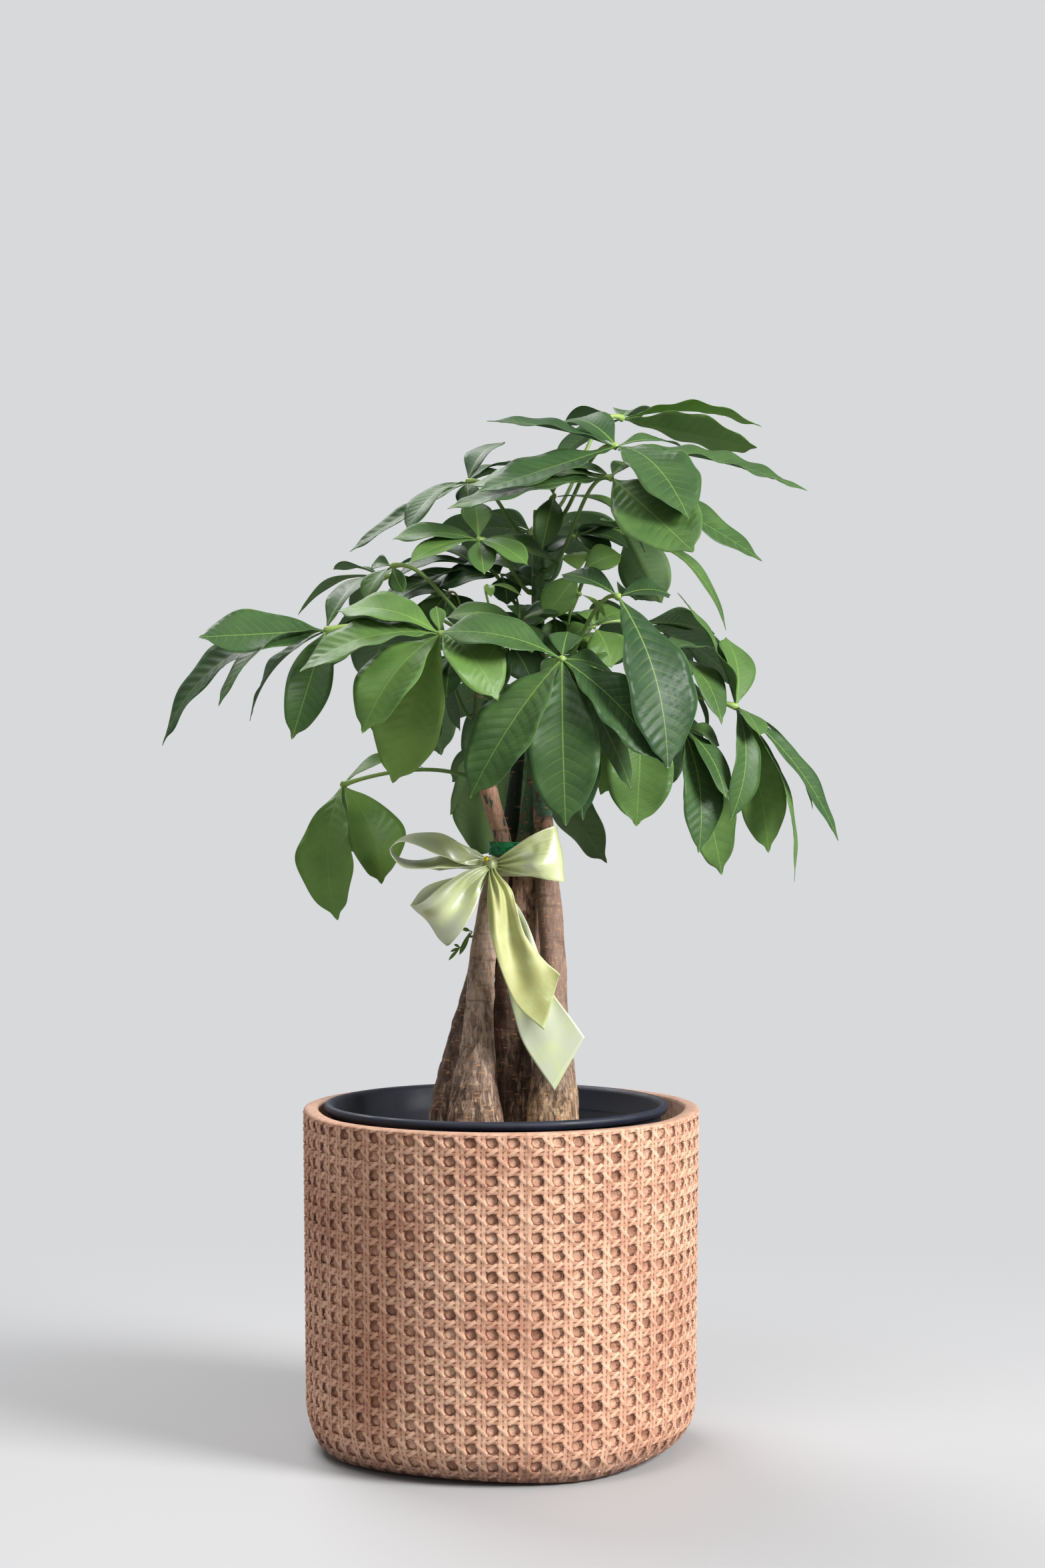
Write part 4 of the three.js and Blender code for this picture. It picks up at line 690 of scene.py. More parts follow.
print(sum(len(levels) for levels in TRUNKS.values()), "levels on", len(TRUNKS), "trunks")

# %% Trunks: meshes
def trunk_at(name, z):
    """The middle and the radius of a trunk at a height."""
    levels = np.array(TRUNKS[name], float)
    x, y, radius = (np.interp(z, levels[:, 2], levels[:, k]) for k in (0, 1, 3))
    return np.array([x, y, z]), radius


def trunk(name, finish, draw):
    """One trunk as a tube, with cracks, lumps and the rings of old leaf scars moved in or out."""
    route = flowing(TRUNKS[name], 12)
    levels, radii = route[:, :3], route[:, 3]
    scars = []
    z = SCARS_FROM_Z
    while z < levels[-1, 2]:
        scars.append((z + draw.uniform(-4, 4), draw.uniform(0, 6.3), draw.uniform(0.35, 1.0)))
        z += draw.uniform(13, 24) * (1.3 if z < GREEN_FROM_Z else 0.8)
    angle = around(TRUNK_SIDES)
    rings = spokes(levels, TRUNK_SIDES)
    points, relief = [], []
    for middle, radius, ring in zip(levels, radii, rings):
        height = middle[2]
        cork = 1 - float(smoothstep(CORK_TOP_Z - 40, CORK_TOP_Z + 60, height))
        young = float(smoothstep(GREEN_FROM_Z - 6, GREEN_FROM_Z + 10, height))
        base = radius * (1 + TRUNK_LOBES * np.sin(3 * angle + height * 0.045))
        shaped = np.zeros(TRUNK_SIDES)
        for j, way in enumerate(ring):
            x, y, z = middle + way * radius
            crack = 1 - abs(rough((x, y, z * 0.28), CRACK_MM)) * 3
            fine = rough((x, y, z * 0.5), FINE_MM)
            lump = rough((x, y, z), LUMP_MM)
            deep = (0.25 + 0.65 * cork) * (1 - 0.8 * young)
            shaped[j] = -deep * max(crack, 0) + 0.22 * deep * fine + 0.7 * (1 - young) * lump
        for scar, side, size in scars:
            near = math.exp(-(((height - scar) / SCAR_MM) ** 2))
            if near > 0.01:
                round_it = 0.35 + 1.1 * np.exp(-((np.angle(np.exp(1j * (angle - side))) / 0.5) ** 2))
                shaped += size * near * round_it * (0.55 if young > 0.5 else 0.8) * min(radius / 6, 1)
        points.append(middle + ring * (base + shaped)[:, None])
        relief.append(shaped)
    return piece(name, np.concatenate(points), skin(len(points), TRUNK_SIDES), [finish],
                 values={"relief": np.concatenate(relief)})


print("the right trunk is", round(2 * trunk_at("trunk_right", 208)[1], 1), "mm thick at the mix")

# %% [markdown]
# One bark does not fit all: the corky foot is tan, the middle is brown with rust-coloured lenticels, which
# are breathing pores that run across the stem, and the young stems above are green or pink-brown with
# patches. So the finish takes a ground colour and a patch colour by height, and noise decides which shows.

# %% Young bark, grown
BARK_FROM, BARK_TO = 180, 620
HEIGHT_WANDER_MM, BLOT_MM, GRAIN_MM, FIBRE_MM, WRINKLE_MM, PORE_MM = 9, 4.5, 1.6, 1.9, 3.2, 4.4


def share_of_height(height):
    """Where a height in mm lies on the bark's colour ramps."""
    return (height - BARK_FROM) / (BARK_TO - BARK_FROM)


def bark(name, ground, patch, cover):
    """Bark whose ground and patch colours are (height in mm, colour), with the share that patches cover."""
    finish, tree, shader = material("young_bark_" + name, Roughness=0.78, IOR=1.45)
    place = add(tree, "TexCoord").outputs["Object"]
    z = add(tree, "SeparateXYZ", {"Vector": place}).outputs["Z"]
    up = add(tree, "MapRange", {"Value": z, "From Min": BARK_FROM * MM, "From Max": BARK_TO * MM})
    wander = add(tree, "TexNoise", {"Vector": place, "Scale": 1 / (HEIGHT_WANDER_MM * MM), "Detail": 3.0})
    wander = add(tree, "MapRange", {"Value": wander, "To Min": -0.035, "To Max": 0.035})
    up = add(tree, "Math", {0: up, 1: wander}, operation="ADD")
    base = add(tree, "ValToRGB", {"Fac": up}, stops=[(share_of_height(h), c) for h, c in ground])
    over = add(tree, "ValToRGB", {"Fac": up}, stops=[(share_of_height(h), c) for h, c in patch])
    long_way = add(tree, "Mapping", {"Vector": place, "Scale": (1, 1, 0.35)})
    blot = add(tree, "TexNoise", {"Vector": long_way, "Scale": 1 / (BLOT_MM * MM), "Detail": 4.0,
                                  "Roughness": 0.6})
    edge = 0.62 - 0.24 * cover
    shown = add(tree, "MapRange", {"Value": blot, "From Min": edge, "From Max": edge + 0.05})
    colour = add(tree, "MixRGB", {"Fac": shown, "Color1": base, "Color2": over})
    grain = add(tree, "TexNoise", {"Vector": long_way, "Scale": 1 / (GRAIN_MM * MM), "Detail": 4.0})
    dark = add(tree, "MapRange", {"Value": grain, "From Min": 0.3, "From Max": 0.7, "To Min": 0.74,
                                  "To Max": 1.24})
    colour = add(tree, "MixRGB", {"Fac": 1.0, "Color1": colour, "Color2": dark}, blend_type="MULTIPLY")
    relief = add(tree, "Attribute", attribute_name="relief").outputs["Fac"]
    crack = add(tree, "MapRange", {"Value": relief, "From Min": -0.25, "From Max": -0.9, "To Max": 0.75})
    colour = add(tree, "MixRGB", {"Fac": crack, "Color1": colour, "Color2": "#3A281E"})
    foot = add(tree, "MapRange", {"Value": z, "From Min": (CORK_TOP_Z + 10) * MM,
                                  "From Max": (CORK_TOP_Z - 55) * MM})
    stretched = add(tree, "Mapping", {"Vector": place, "Scale": (1, 1, 0.16)})
    fibres = add(tree, "TexNoise", {"Vector": stretched, "Scale": 1 / (FIBRE_MM * MM), "Detail": 5.0,
                                    "Distortion": 0.6})
    open_crack = add(tree, "MapRange", {"Value": fibres, "From Min": 0.46, "From Max": 0.36, "To Max": 0.85})
    open_crack = add(tree, "Math", {0: open_crack, 1: foot}, operation="MULTIPLY")
    colour = add(tree, "MixRGB", {"Fac": open_crack, "Color1": colour, "Color2": "#4C382C"})
    pale = add(tree, "MapRange", {"Value": fibres, "From Min": 0.54, "From Max": 0.66, "To Max": 0.6})
    pale = add(tree, "Math", {0: pale, 1: foot}, operation="MULTIPLY")
    colour = add(tree, "MixRGB", {"Fac": pale, "Color1": colour, "Color2": "#DBC3A0"})
    round_way = add(tree, "Mapping", {"Vector": place, "Scale": (0.16, 0.16, 1)})
    wrinkle = add(tree, "TexNoise", {"Vector": round_way, "Scale": 1 / (WRINKLE_MM * MM), "Detail": 3.0})
    lined = add(tree, "MapRange", {"Value": wrinkle, "From Min": 0.42, "From Max": 0.3, "To Max": 0.5})
    colour = add(tree, "MixRGB", {"Fac": lined, "Color1": colour, "Color2": "#4A382F"})
    ridged = add(tree, "MapRange", {"Value": wrinkle, "From Min": 0.62, "From Max": 0.72, "To Max": 0.45})
    colour = add(tree, "MixRGB", {"Fac": ridged, "Color1": colour, "Color2": "#A98568"})
    cross_way = add(tree, "Mapping", {"Vector": place, "Scale": (0.5, 0.5, 1.6)})
    pores = add(tree, "TexVoronoi", {"Vector": cross_way, "Scale": 1 / (PORE_MM * MM)}, feature="F1")
    pore = add(tree, "MapRange", {"Value": pores, "From Min": 0.24, "From Max": 0.14, "To Max": 0.75})
    rust = add(tree, "MixRGB", {"Fac": pore, "Color1": colour, "Color2": "#B88458"})
    height = add(tree, "Math", {0: pore, 1: 0.5, 2: grain}, operation="MULTIPLY_ADD")
    height = add(tree, "Math", {0: wrinkle, 1: 1.6, 2: height}, operation="MULTIPLY_ADD")
    height = add(tree, "Math", {0: open_crack, 1: -1.2, 2: height}, operation="MULTIPLY_ADD")
    bumps = add(tree, "Bump", {"Height": height, "Strength": 0.7, "Distance": 0.6 * MM})
    feed(tree, shader, {"Base Color": rust, "Normal": bumps})
    return finish


print("cork up to", CORK_TOP_Z, "mm and green from", GREEN_FROM_Z, "mm")

# %% Young bark: colours by height in mm
# The centre and back-left trunks take SHADED, a darker copy of the bark that paints the shade they stand in.
# The centre trunk's table turns lighter above 300 mm, painted light where that stem is lit, and the
# front-left trunk's cork is lighter from 262 mm up than CORK, painted light on its shaded middle.
CORK = [(185, "#C9A77C"), (212, "#B08E6A"), (238, "#8D7462"), (300, "#8A6F60"), (385, "#84695A")]
DULL_CORK_LIT_MIDDLE = [(185, "#B39170"), (206, "#8C7058"), (230, "#745C4E"), (262, "#A48D7B"), (300, "#A9917F"),
             (385, "#9C8273")]
CORK_PATCH = [(185, "#96785C"), (248, "#7C6556"), (385, "#9A7D69")]
SHADED = [(185, "#8E7258"), (222, "#775C4D"), (262, "#674F42"), (300, "#624B3E"), (385, "#6A5243")]
CENTRE_SHADED_THEN_LIT = SHADED[:3] + [(294, "#6E5647"), (324, "#AC8D76"), (385, "#AC8A70")]
SHADED_PATCH = [(185, "#5E4838"), (262, "#463429"), (385, "#77594A")]
STEMS = {
    "trunk_front_left": (DULL_CORK_LIT_MIDDLE + [(391, "#B48A73"), (428, "#B48A73"), (436, "#5B4A38"), (470, "#4B5E38")],
                         CORK_PATCH + [(391, "#3F5A45"), (440, "#3C5238")], 0.3),
    "trunk_right": (CORK + [(391, "#A98069"), (402, "#A07A63"), (408, "#4B6A52"), (520, "#4F7040")],
                    CORK_PATCH + [(391, "#3C4A3C"), (410, "#5C4234"), (520, "#5C4234")], 0.3),
    "trunk_centre": (CENTRE_SHADED_THEN_LIT + [(391, "#45634A"), (480, "#56764F"), (520, "#5E7E52"), (600, "#668A50")],
                     SHADED_PATCH + [(391, "#7A4F3A"), (460, "#6A5A44"), (500, "#4A6444")], 0.35),
    "trunk_back_left": (SHADED + [(391, "#1F2E22"), (446, "#1F2E22"), (451, "#4A2E26")],
                        SHADED_PATCH + [(391, "#33302A"), (451, "#2C1E1A")], 0.25),
    "trunk_back": (CORK + [(391, "#2E4533"), (520, "#3F5E38")],
                   CORK_PATCH + [(391, "#5A4536"), (520, "#4A4A34")], 0.3),
}
draw = random.Random(5)
for name, (ground, patch, cover) in STEMS.items():
    trunk(name, bark(name, ground, patch, cover), draw)

# %% [markdown]
# ## Green tape and the ribbon's wrap
# Both ties are pulled tight, so seen from above each is the outline that a string takes round the five
# stems. In every direction that outline touches the stem that reaches furthest, which is all that the
# formula needs. The tape is glossy film with creases, and the ribbon is gathered to a third of its width.

# %% Ties round the stems
TAPE_Z = (379, 387.5)
TAPE_THICKNESS, TAPE_FOLDS, TAPE_FOLD_DEPTH = 1.2, 1.5, 0.35
WRAP_Z = (365.5, 377.5)
WRAP_THICKNESS, WRAP_FOLDS, WRAP_FOLD_DEPTH = 1.4, 4.5, 0.7
TIE_CLEARANCE = 0.4
EDGE_WANDER, CREASE_MM = 0.35, 5
TIE_SIDES, TIE_ROWS = 160, 22


def tie_outline(low, high, away):
    """Points round the stems, `away` from them, as x and y for each direction."""
    circles = [trunk_at(name, z) for name in TRUNKS for z in (low, high)]
    points = []
    for angle in around(TIE_SIDES):
        out = np.array([math.cos(angle), math.sin(angle)])
        middle, radius = max(circles, key=lambda c: c[0][:2] @ out + c[1] * (1 + TRUNK_LOBES))
        points.append(middle[:2] + out * (radius * (1 + TRUNK_LOBES) + away))
    return np.array(points)


def tie(node, low, high, thickness, folds, fold_depth, finish, slot):
    """A closed band with folds that run round it and creases across. Gives the piece and its length in mm."""
    rings = []
    inner = tie_outline(low, high, TIE_CLEARANCE)
    outer = tie_outline(low, high, TIE_CLEARANCE + thickness)
    out = unit(outer - inner)
    angle = around(TIE_SIDES)
    for t in np.linspace(0, 1, TIE_ROWS):
        wave = np.sin(t * folds * 2 * math.pi + 0.9 * np.sin(3 * angle) + 0.6 * np.sin(7 * angle))
        crease = np.array([rough((p[0], p[1], t * 9), CREASE_MM) for p in outer])
        swell = -fold_depth + fold_depth * (wave * 0.8 + crease) * math.sin(math.pi * min(max(t, 0.06), 0.94))
        z = low + (high - low) * t + EDGE_WANDER * np.sin(5 * angle + t) * (1 - abs(2 * t - 1))
        rings.append(np.column_stack([outer + out * swell[:, None], z]))
    rings.append(np.column_stack([inner, np.full(TIE_SIDES, high)]))
    rings.append(np.column_stack([inner, np.full(TIE_SIDES, low)]))
    rings.append(rings[0])
    points = np.concatenate(rings[:-1])
    faces = skin(len(rings) - 1, TIE_SIDES, caps=False)
    last = (len(rings) - 2) * TIE_SIDES
    faces += [[last + j, last + (j + 1) % TIE_SIDES, (j + 1) % TIE_SIDES, j] for j in range(TIE_SIDES)]
    length = float(np.linalg.norm(np.diff(outer, axis=0, append=outer[:1]), axis=1).sum())
    return piece(node, points, faces, [finish]), length


print("the tape is", TAPE_Z[1] - TAPE_Z[0], "mm wide and the wrap", WRAP_Z[1] - WRAP_Z[0], "mm")

# %% Tape, glossy film
FILM_CREASE_MM = 4
film, tree, shader = material("pvc_tape_glossy", Roughness=0.22, IOR=1.53)
place = add(tree, "TexCoord").outputs["Object"]
creases = add(tree, "TexNoise", {"Vector": place, "Scale": 1 / (FILM_CREASE_MM * MM), "Detail": 4.0,
                                 "Distortion": 1.2})
# Painted shade and highlight: the green is darker in the crease hollows and paler on their crests, following
# the same noise as the bump.
depth = add(tree, "ValToRGB", {"Fac": creases}, stops=[(0.3, "#07492A"), (0.55, "#0F8049"), (0.8, "#38B077")])
bumps = add(tree, "Bump", {"Height": creases, "Strength": 0.8, "Distance": 0.6 * MM})
feed(tree, shader, {"Base Color": depth, "Normal": bumps})
tie("tie_tape", *TAPE_Z, TAPE_THICKNESS, TAPE_FOLDS, TAPE_FOLD_DEPTH, film, "green_tape")

# %% [markdown]
# ## Satin ribbon
# Polyester satin is woven with long floats, so nearly every thread on its face runs one way and shines as
# one. That gives broad pale highlights that fade slowly. The green is also painted deeper where the cloth
# turns away from the view, a painted sheen. Its selvedge is a fine firm edge. The threads are 0.1 mm apart,
# too fine for the render, so the pattern that shows is the slow streak along the ribbon that the floats make
# together.

# %% Satin, woven polyester
CLOUD_MM = 14
satin, tree, shader = material("polyester_satin_woven", IOR=1.5, Specular_IOR_Level=1.0, Sheen_Weight=0.25,
                               Sheen_Roughness=0.4, Sheen_Tint="#F2F8DC", Coat_Roughness=0.42, Coat_IOR=1.6)
lie = add(tree, "Attribute", attribute_name="lie").outputs["Vector"]
parts = add(tree, "SeparateXYZ", {"Vector": lie})
streaks = add(tree, "Mapping", {"Vector": lie, "Scale": (17, 1 / 26, 1)})
streak = add(tree, "TexNoise", {"Vector": streaks, "Scale": 1.0, "Detail": 3.0})
place = add(tree, "TexCoord").outputs["Object"]
cloud = add(tree, "TexNoise", {"Vector": place, "Scale": 1 / (CLOUD_MM * MM), "Detail": 2.0})
# Painted sheen: where the cloth faces away from the view, its green is mixed deeper.
turned = add(tree, "LayerWeight", {"Blend": 0.35}).outputs["Facing"]
mix = add(tree, "Math", {0: streak, 1: 0.35, 2: cloud}, operation="MULTIPLY_ADD")
# The lie's third value shifts the green: darker on the front tail, paler on the back tail, and paler on the
# two left loops, which is painted light.
mix = add(tree, "Math", {0: parts.outputs["Z"], 1: 0.3, 2: mix}, operation="MULTIPLY_ADD")
cloth = add(tree, "ValToRGB", {"Fac": mix}, stops=[
    (0.3, "#A9A862"), (0.5, "#B2B874"), (0.66, "#CCD699"), (1.0, "#C4CBAE")])
painted_sheen = add(tree, "MixRGB", {"Fac": turned, "Color1": cloth, "Color2": "#B0BA74"})
worn_side = add(tree, "Math", {0: parts.outputs["Z"]}, operation="ABSOLUTE")
dull = add(tree, "MapRange", {"Value": worn_side, "From Min": 0.5, "To Min": 0.33, "To Max": 0.6})
glaze = add(tree, "MapRange", {"Value": worn_side, "From Min": 0.5, "To Min": 1.0, "To Max": 0.0})
across = add(tree, "Math", {0: parts.outputs["X"]}, operation="ABSOLUTE")
selvedge = add(tree, "MapRange", {"Value": across, "From Min": 0.955, "From Max": 0.985, "To Max": 0.55})
edged = add(tree, "MixRGB", {"Fac": selvedge, "Color1": painted_sheen, "Color2": "#E2EBC0"})
bumps = add(tree, "Bump", {"Height": streak, "Strength": 0.12, "Distance": 0.3 * MM})
feed(tree, shader, {"Base Color": edged, "Roughness": dull, "Normal": bumps, "Coat Weight": glaze})
print("the satin takes", len(tree.nodes), "nodes")

# %% [markdown]
# ## The bow: loops, tails and knot
# A ribbon bends easily along its length and hardly across it, so it is described by its two edges at a few
# places, with a smooth curve through each. Where it is drawn into the knot it is narrower than its 36 mm,
# and the cloth that is left over stands up in pleats, which open into one soft curl further out. On the two
# left loops the cloth is also pushed in between the knot and the bend, and satin shines on the far slope of
# such a dent. The back of each loop is the same strip coming back.

# %% Bow: left and right edge of the ribbon at each place
RIBBON = {
    "ribbon_loop_right": [
        ((-5, -30, 375.5), (-5, -30, 372)), ((-1, -32, 377), (-1, -32, 371)),
        ((8, -42, 384), (12, -42, 368)), ((21, -47, 393), (26, -48, 365)),
        ((33, -43, 398), (38, -44, 363)), ((36, -37, 397), (41, -37, 363)),
        ((33, -31, 396), (38, -31, 363)), ((20, -27, 391), (24, -27, 365)),
        ((7, -27, 382), (9, -27, 369)), ((1, -28, 377), (1, -28, 372)),
        ((-4, -26, 375.5), (-4, -26, 372.5)),
    ],
    "ribbon_loop_upper_left": [
        ((-6, -25, 377), (-6, -29, 375)), ((-11, -25, 378), (-11, -31, 375)),
        ((-21.5, -21, 387), (-25, -42, 376)), ((-38, -19, 393), (-38.5, -52, 380)),
        ((-55, -18, 393), (-51.7, -54, 386)), ((-64, -17, 390), (-62, -54, 388.5)),
        ((-69, -17, 385), (-69, -54, 384)), ((-67, -17, 379), (-66, -54, 377)),
        ((-58.5, -18, 376), (-59, -54, 372)), ((-42.5, -21, 376), (-42.5, -50, 370)),
        ((-25.7, -24, 375), (-25.7, -37, 371)), ((-11, -26, 373.5), (-11, -32, 371.5)),
        ((-6, -26, 373), (-6, -30, 371.5)),
    ],
    "ribbon_loop_lower_left": [
        ((-8, -31, 373), (-6, -31, 370.5)), ((-11, -37, 373), (-8, -37, 369)),
        ((-21.5, -46, 370), (-11.4, -43, 361)), ((-36, -50, 361), (-15, -47, 350)),
        ((-48.4, -49, 351), (-22.7, -47, 335)), ((-55, -43, 348.5), (-31.6, -42, 323.7)),
        ((-55.5, -36, 350), (-34, -36, 325)), ((-46.7, -31, 360), (-21.5, -30, 339)),
        ((-24, -30, 367), (-13, -29, 357)), ((-11, -30, 369), (-8, -30, 366)),
        ((-7, -27, 371), (-5, -27, 369.5)),
    ],
    "ribbon_tail_front": [
        ((-7.5, -31, 370.5), (-3, -31, 371.5)), ((-8, -38, 367), (-2, -38, 369)),
        ((-8.4, -46, 356), (6.7, -45, 359)), ((-8, -50, 344.5), (10.4, -49, 345.3)),
        ((-6.3, -53, 330.3), (15, -52, 330.3)), ((-1.3, -56, 313), (23.9, -55, 318.5)),
        ((5, -58, 297), (30, -57, 312)), ((12, -60, 284.6), (34, -58, 308.9)),
        ((27.2, -61, 271.2), (37, -59, 306)),
    ],
    "ribbon_tail_back": [
        ((-7, -27, 369.5), (-3, -27, 370.5)), ((-6.5, -33, 365), (-1.5, -33, 366.5)),
        ((-3, -38, 340), (14, -37, 342)), ((0, -41, 318), (23, -40, 320)),
        ((3.2, -44, 302.3), (29, -44, 302)), ((8.8, -48, 278.7), (33, -47, 293)),
        ((15.5, -52, 260), (44.5, -50, 277.5)), ((33.7, -55, 232.5), (52.7, -52, 266)),
    ],
}
RIBBON_WIDTH = 36
PLEATS, PLEAT_DEPTH, PLEAT_LIMIT, PLEATS_REACH = 3, 7, 0.26, 20
CURL, TAIL_CURL, CURL_LIMIT = 14, 8, 0.14
CURLS_ACROSS, CURL_LENGTH = 1.25, 90
DENTS = {"ribbon_loop_lower_left": (0.5, 27, 8.5), "ribbon_loop_upper_left": (0.6, 22, 5)}
DENT_WIDTH, DENT_LENGTH = 0.24, 12
# Each run's third lie value: the front tail is drawn darker and matt, the back tail paler and matt, and the
# two left loops paler with full gloss, as painted light.
RUN_TONE_AND_PAINTED_LIGHT = {"ribbon_tail_front": -1.0, "ribbon_tail_back": 1.0, "ribbon_loop_upper_left": 0.5,
              "ribbon_loop_lower_left": 0.5}
RIBBON_THICKNESS = 0.4
RIBBON_ACROSS = 28
RIBBON_STEPS = 9
print(len(RIBBON), "runs of ribbon")

# %% Bow: meshes
def ribbon(node, sections, finish):
    """One run of the ribbon, pleated where it is narrow. Gives the piece and its length in mm."""
    route = flowing([[*left, *right] for left, right in sections], RIBBON_STEPS)
    left, right = route[:, :3], route[:, 3:]
    middle = (left + right) / 2
    wide = np.linalg.norm(right - left, axis=1)
    out = unit(np.cross(right - left, np.gradient(middle, axis=0)))
    run = np.concatenate([[0], np.cumsum(np.linalg.norm(np.diff(middle, axis=0), axis=1))])
    spare = np.clip((RIBBON_WIDTH - wide) / RIBBON_WIDTH, 0, 1)
    near_knot = np.exp(-run / PLEATS_REACH)
    if "loop" in node:
        near_knot = near_knot + np.exp(-(run[-1] - run) / PLEATS_REACH)
    near_knot = np.clip(near_knot, 0, 1)
    pleats = np.minimum(spare * PLEAT_DEPTH, wide * PLEAT_LIMIT) * near_knot
    curl = spare * (CURL if "loop" in node else TAIL_CURL)
    curl = np.minimum(curl, wide * CURL_LIMIT) * (1 - near_knot)
    share = np.linspace(0, 1, RIBBON_ACROSS + 1)
    wave = np.cos(share * PLEATS * 2 * math.pi)[None, :] * pleats[:, None]
    lean = share[None, :] * CURLS_ACROSS + run[:, None] / CURL_LENGTH
    wave = wave + np.sin(lean * 2 * math.pi) * curl[:, None]
    if node in DENTS:
        share_at, run_at, depth = DENTS[node]
        across_dent = ((share[None, :] - share_at) / DENT_WIDTH) ** 2
        wave = wave + depth * np.exp(-across_dent - ((run[:, None] - run_at) / DENT_LENGTH) ** 2)
    face = left[:, None] * (1 - share)[None, :, None] + right[:, None] * share[None, :, None]
    face = face + out[:, None] * wave[:, :, None]
    half = RIBBON_THICKNESS / 2
    rings = np.concatenate([face + out[:, None] * half, (face - out[:, None] * half)[:, ::-1]], axis=1)
    u = np.concatenate([share, share[::-1]]) * 2 - 1
    lie = np.stack(np.broadcast_arrays(u[None, :], run[:, None], RUN_TONE_AND_PAINTED_LIGHT.get(node, 0.0)), -1)
    made = piece(node, rings.reshape(-1, 3), skin(len(rings), rings.shape[1]), [finish],
                 values={"lie": lie.reshape(-1, 3)})
    return made, float(run[-1])


print("pleats reach", PLEATS_REACH, "mm from the knot")

# %% Bow: knot
KNOT = np.array([-5.5, -27, 373.5])
KNOT_RADII = np.array([5, 9.5, 5.6])
KNOT_ROWS, KNOT_SIDES = 40, 64
KNOT_PLEATS, KNOT_PLEAT_DEPTH = 6, 0.07


def knot(finish):
    """The knot: a squeezed ball of ribbon with the pleats of the middle wrap round it."""
    rings, lie = [], []
    angle = around(KNOT_SIDES)
    for tilt in np.linspace(0.04, math.pi - 0.04, KNOT_ROWS):
        wave = 0.5 + 0.5 * np.cos(KNOT_PLEATS * tilt + 0.5 * np.sin(2 * angle))
        pleat = 1 - KNOT_PLEAT_DEPTH * wave
        way = np.stack([np.full(KNOT_SIDES, math.cos(tilt)), math.sin(tilt) * np.cos(angle),
                        math.sin(tilt) * np.sin(angle)], -1)
        rings.append(KNOT + way * KNOT_RADII * pleat[:, None])
        lie.append(np.stack([np.full(KNOT_SIDES, tilt / math.pi * 1.6 - 0.8), angle * 6,
                             np.zeros(KNOT_SIDES)], -1))
    return piece("ribbon_knot", np.concatenate(rings), skin(KNOT_ROWS, KNOT_SIDES), [finish],
                 values={"lie": np.concatenate(lie)})


knot(satin)

# %% Bow: its runs and its wrap, with their flat sizes
for node, sections in RIBBON.items():
    made, length = ribbon(node, sections, satin)
    print(node, "is", round(length), "mm long")
wrap, length = tie("ribbon_wrap", *WRAP_Z, WRAP_THICKNESS, WRAP_FOLDS, WRAP_FOLD_DEPTH, satin,
                   "satin_ribbon")
print("the wrap goes", round(length), "mm round the stems")

# %% [markdown]
# ## The bead: gilt metal
# A small gilt bead sits on the knot. Plated metal keeps the default IOR, and its colour comes from the
# metal itself, so metallic is 1 and the base colour is the colour of its reflections.

# %% Bead
BEAD = (-8.9, -34.7, 377.3)
BEAD_RADIUS = 1.7
RUB_MM = 1.5
gilt, tree, shader = material("gilt_brass_polished", Metallic=1.0, Roughness=0.22)
place = add(tree, "TexCoord").outputs["Object"]
rub = add(tree, "TexNoise", {"Vector": place, "Scale": 1 / (RUB_MM * MM), "Detail": 3.0})
gold = add(tree, "ValToRGB", {"Fac": rub}, stops=[(0.3, "#FFD21E"), (0.7, "#FFEC50")])
feed(tree, shader, {"Base Color": gold})
BALL_ROWS, BALL_SIDES = 24, 40
turn = around(BALL_SIDES)
ball = []
for tilt in np.linspace(0.02, math.pi - 0.02, BALL_ROWS):
    level = BEAD_RADIUS * math.sin(tilt)
    ball.append(np.stack([BEAD[0] + level * np.cos(turn), BEAD[1] + level * np.sin(turn),
                          np.full(BALL_SIDES, BEAD[2] + BEAD_RADIUS * math.cos(tilt))], -1))
piece("bead", np.concatenate(ball), skin(BALL_ROWS, BALL_SIDES), [gilt])

# %% [markdown]
# ## Leaves
# Each leaf is a fan of leaflets on one stalk. The frame already bent some leaflets clear of their
# neighbours, so each leaflet tries the same small turns in the same order and keeps the one whose tip is
# a corner of the frame's solid. That seats every fine leaflet on its plain one without copying any mesh.
# A leaf here is its trunk, the height of its stalk, its hub, the way it faces, and its leaflets: the tip
# from the hub, the width, how far the midrib arches, and, where the leaflet is twisted, its own face.

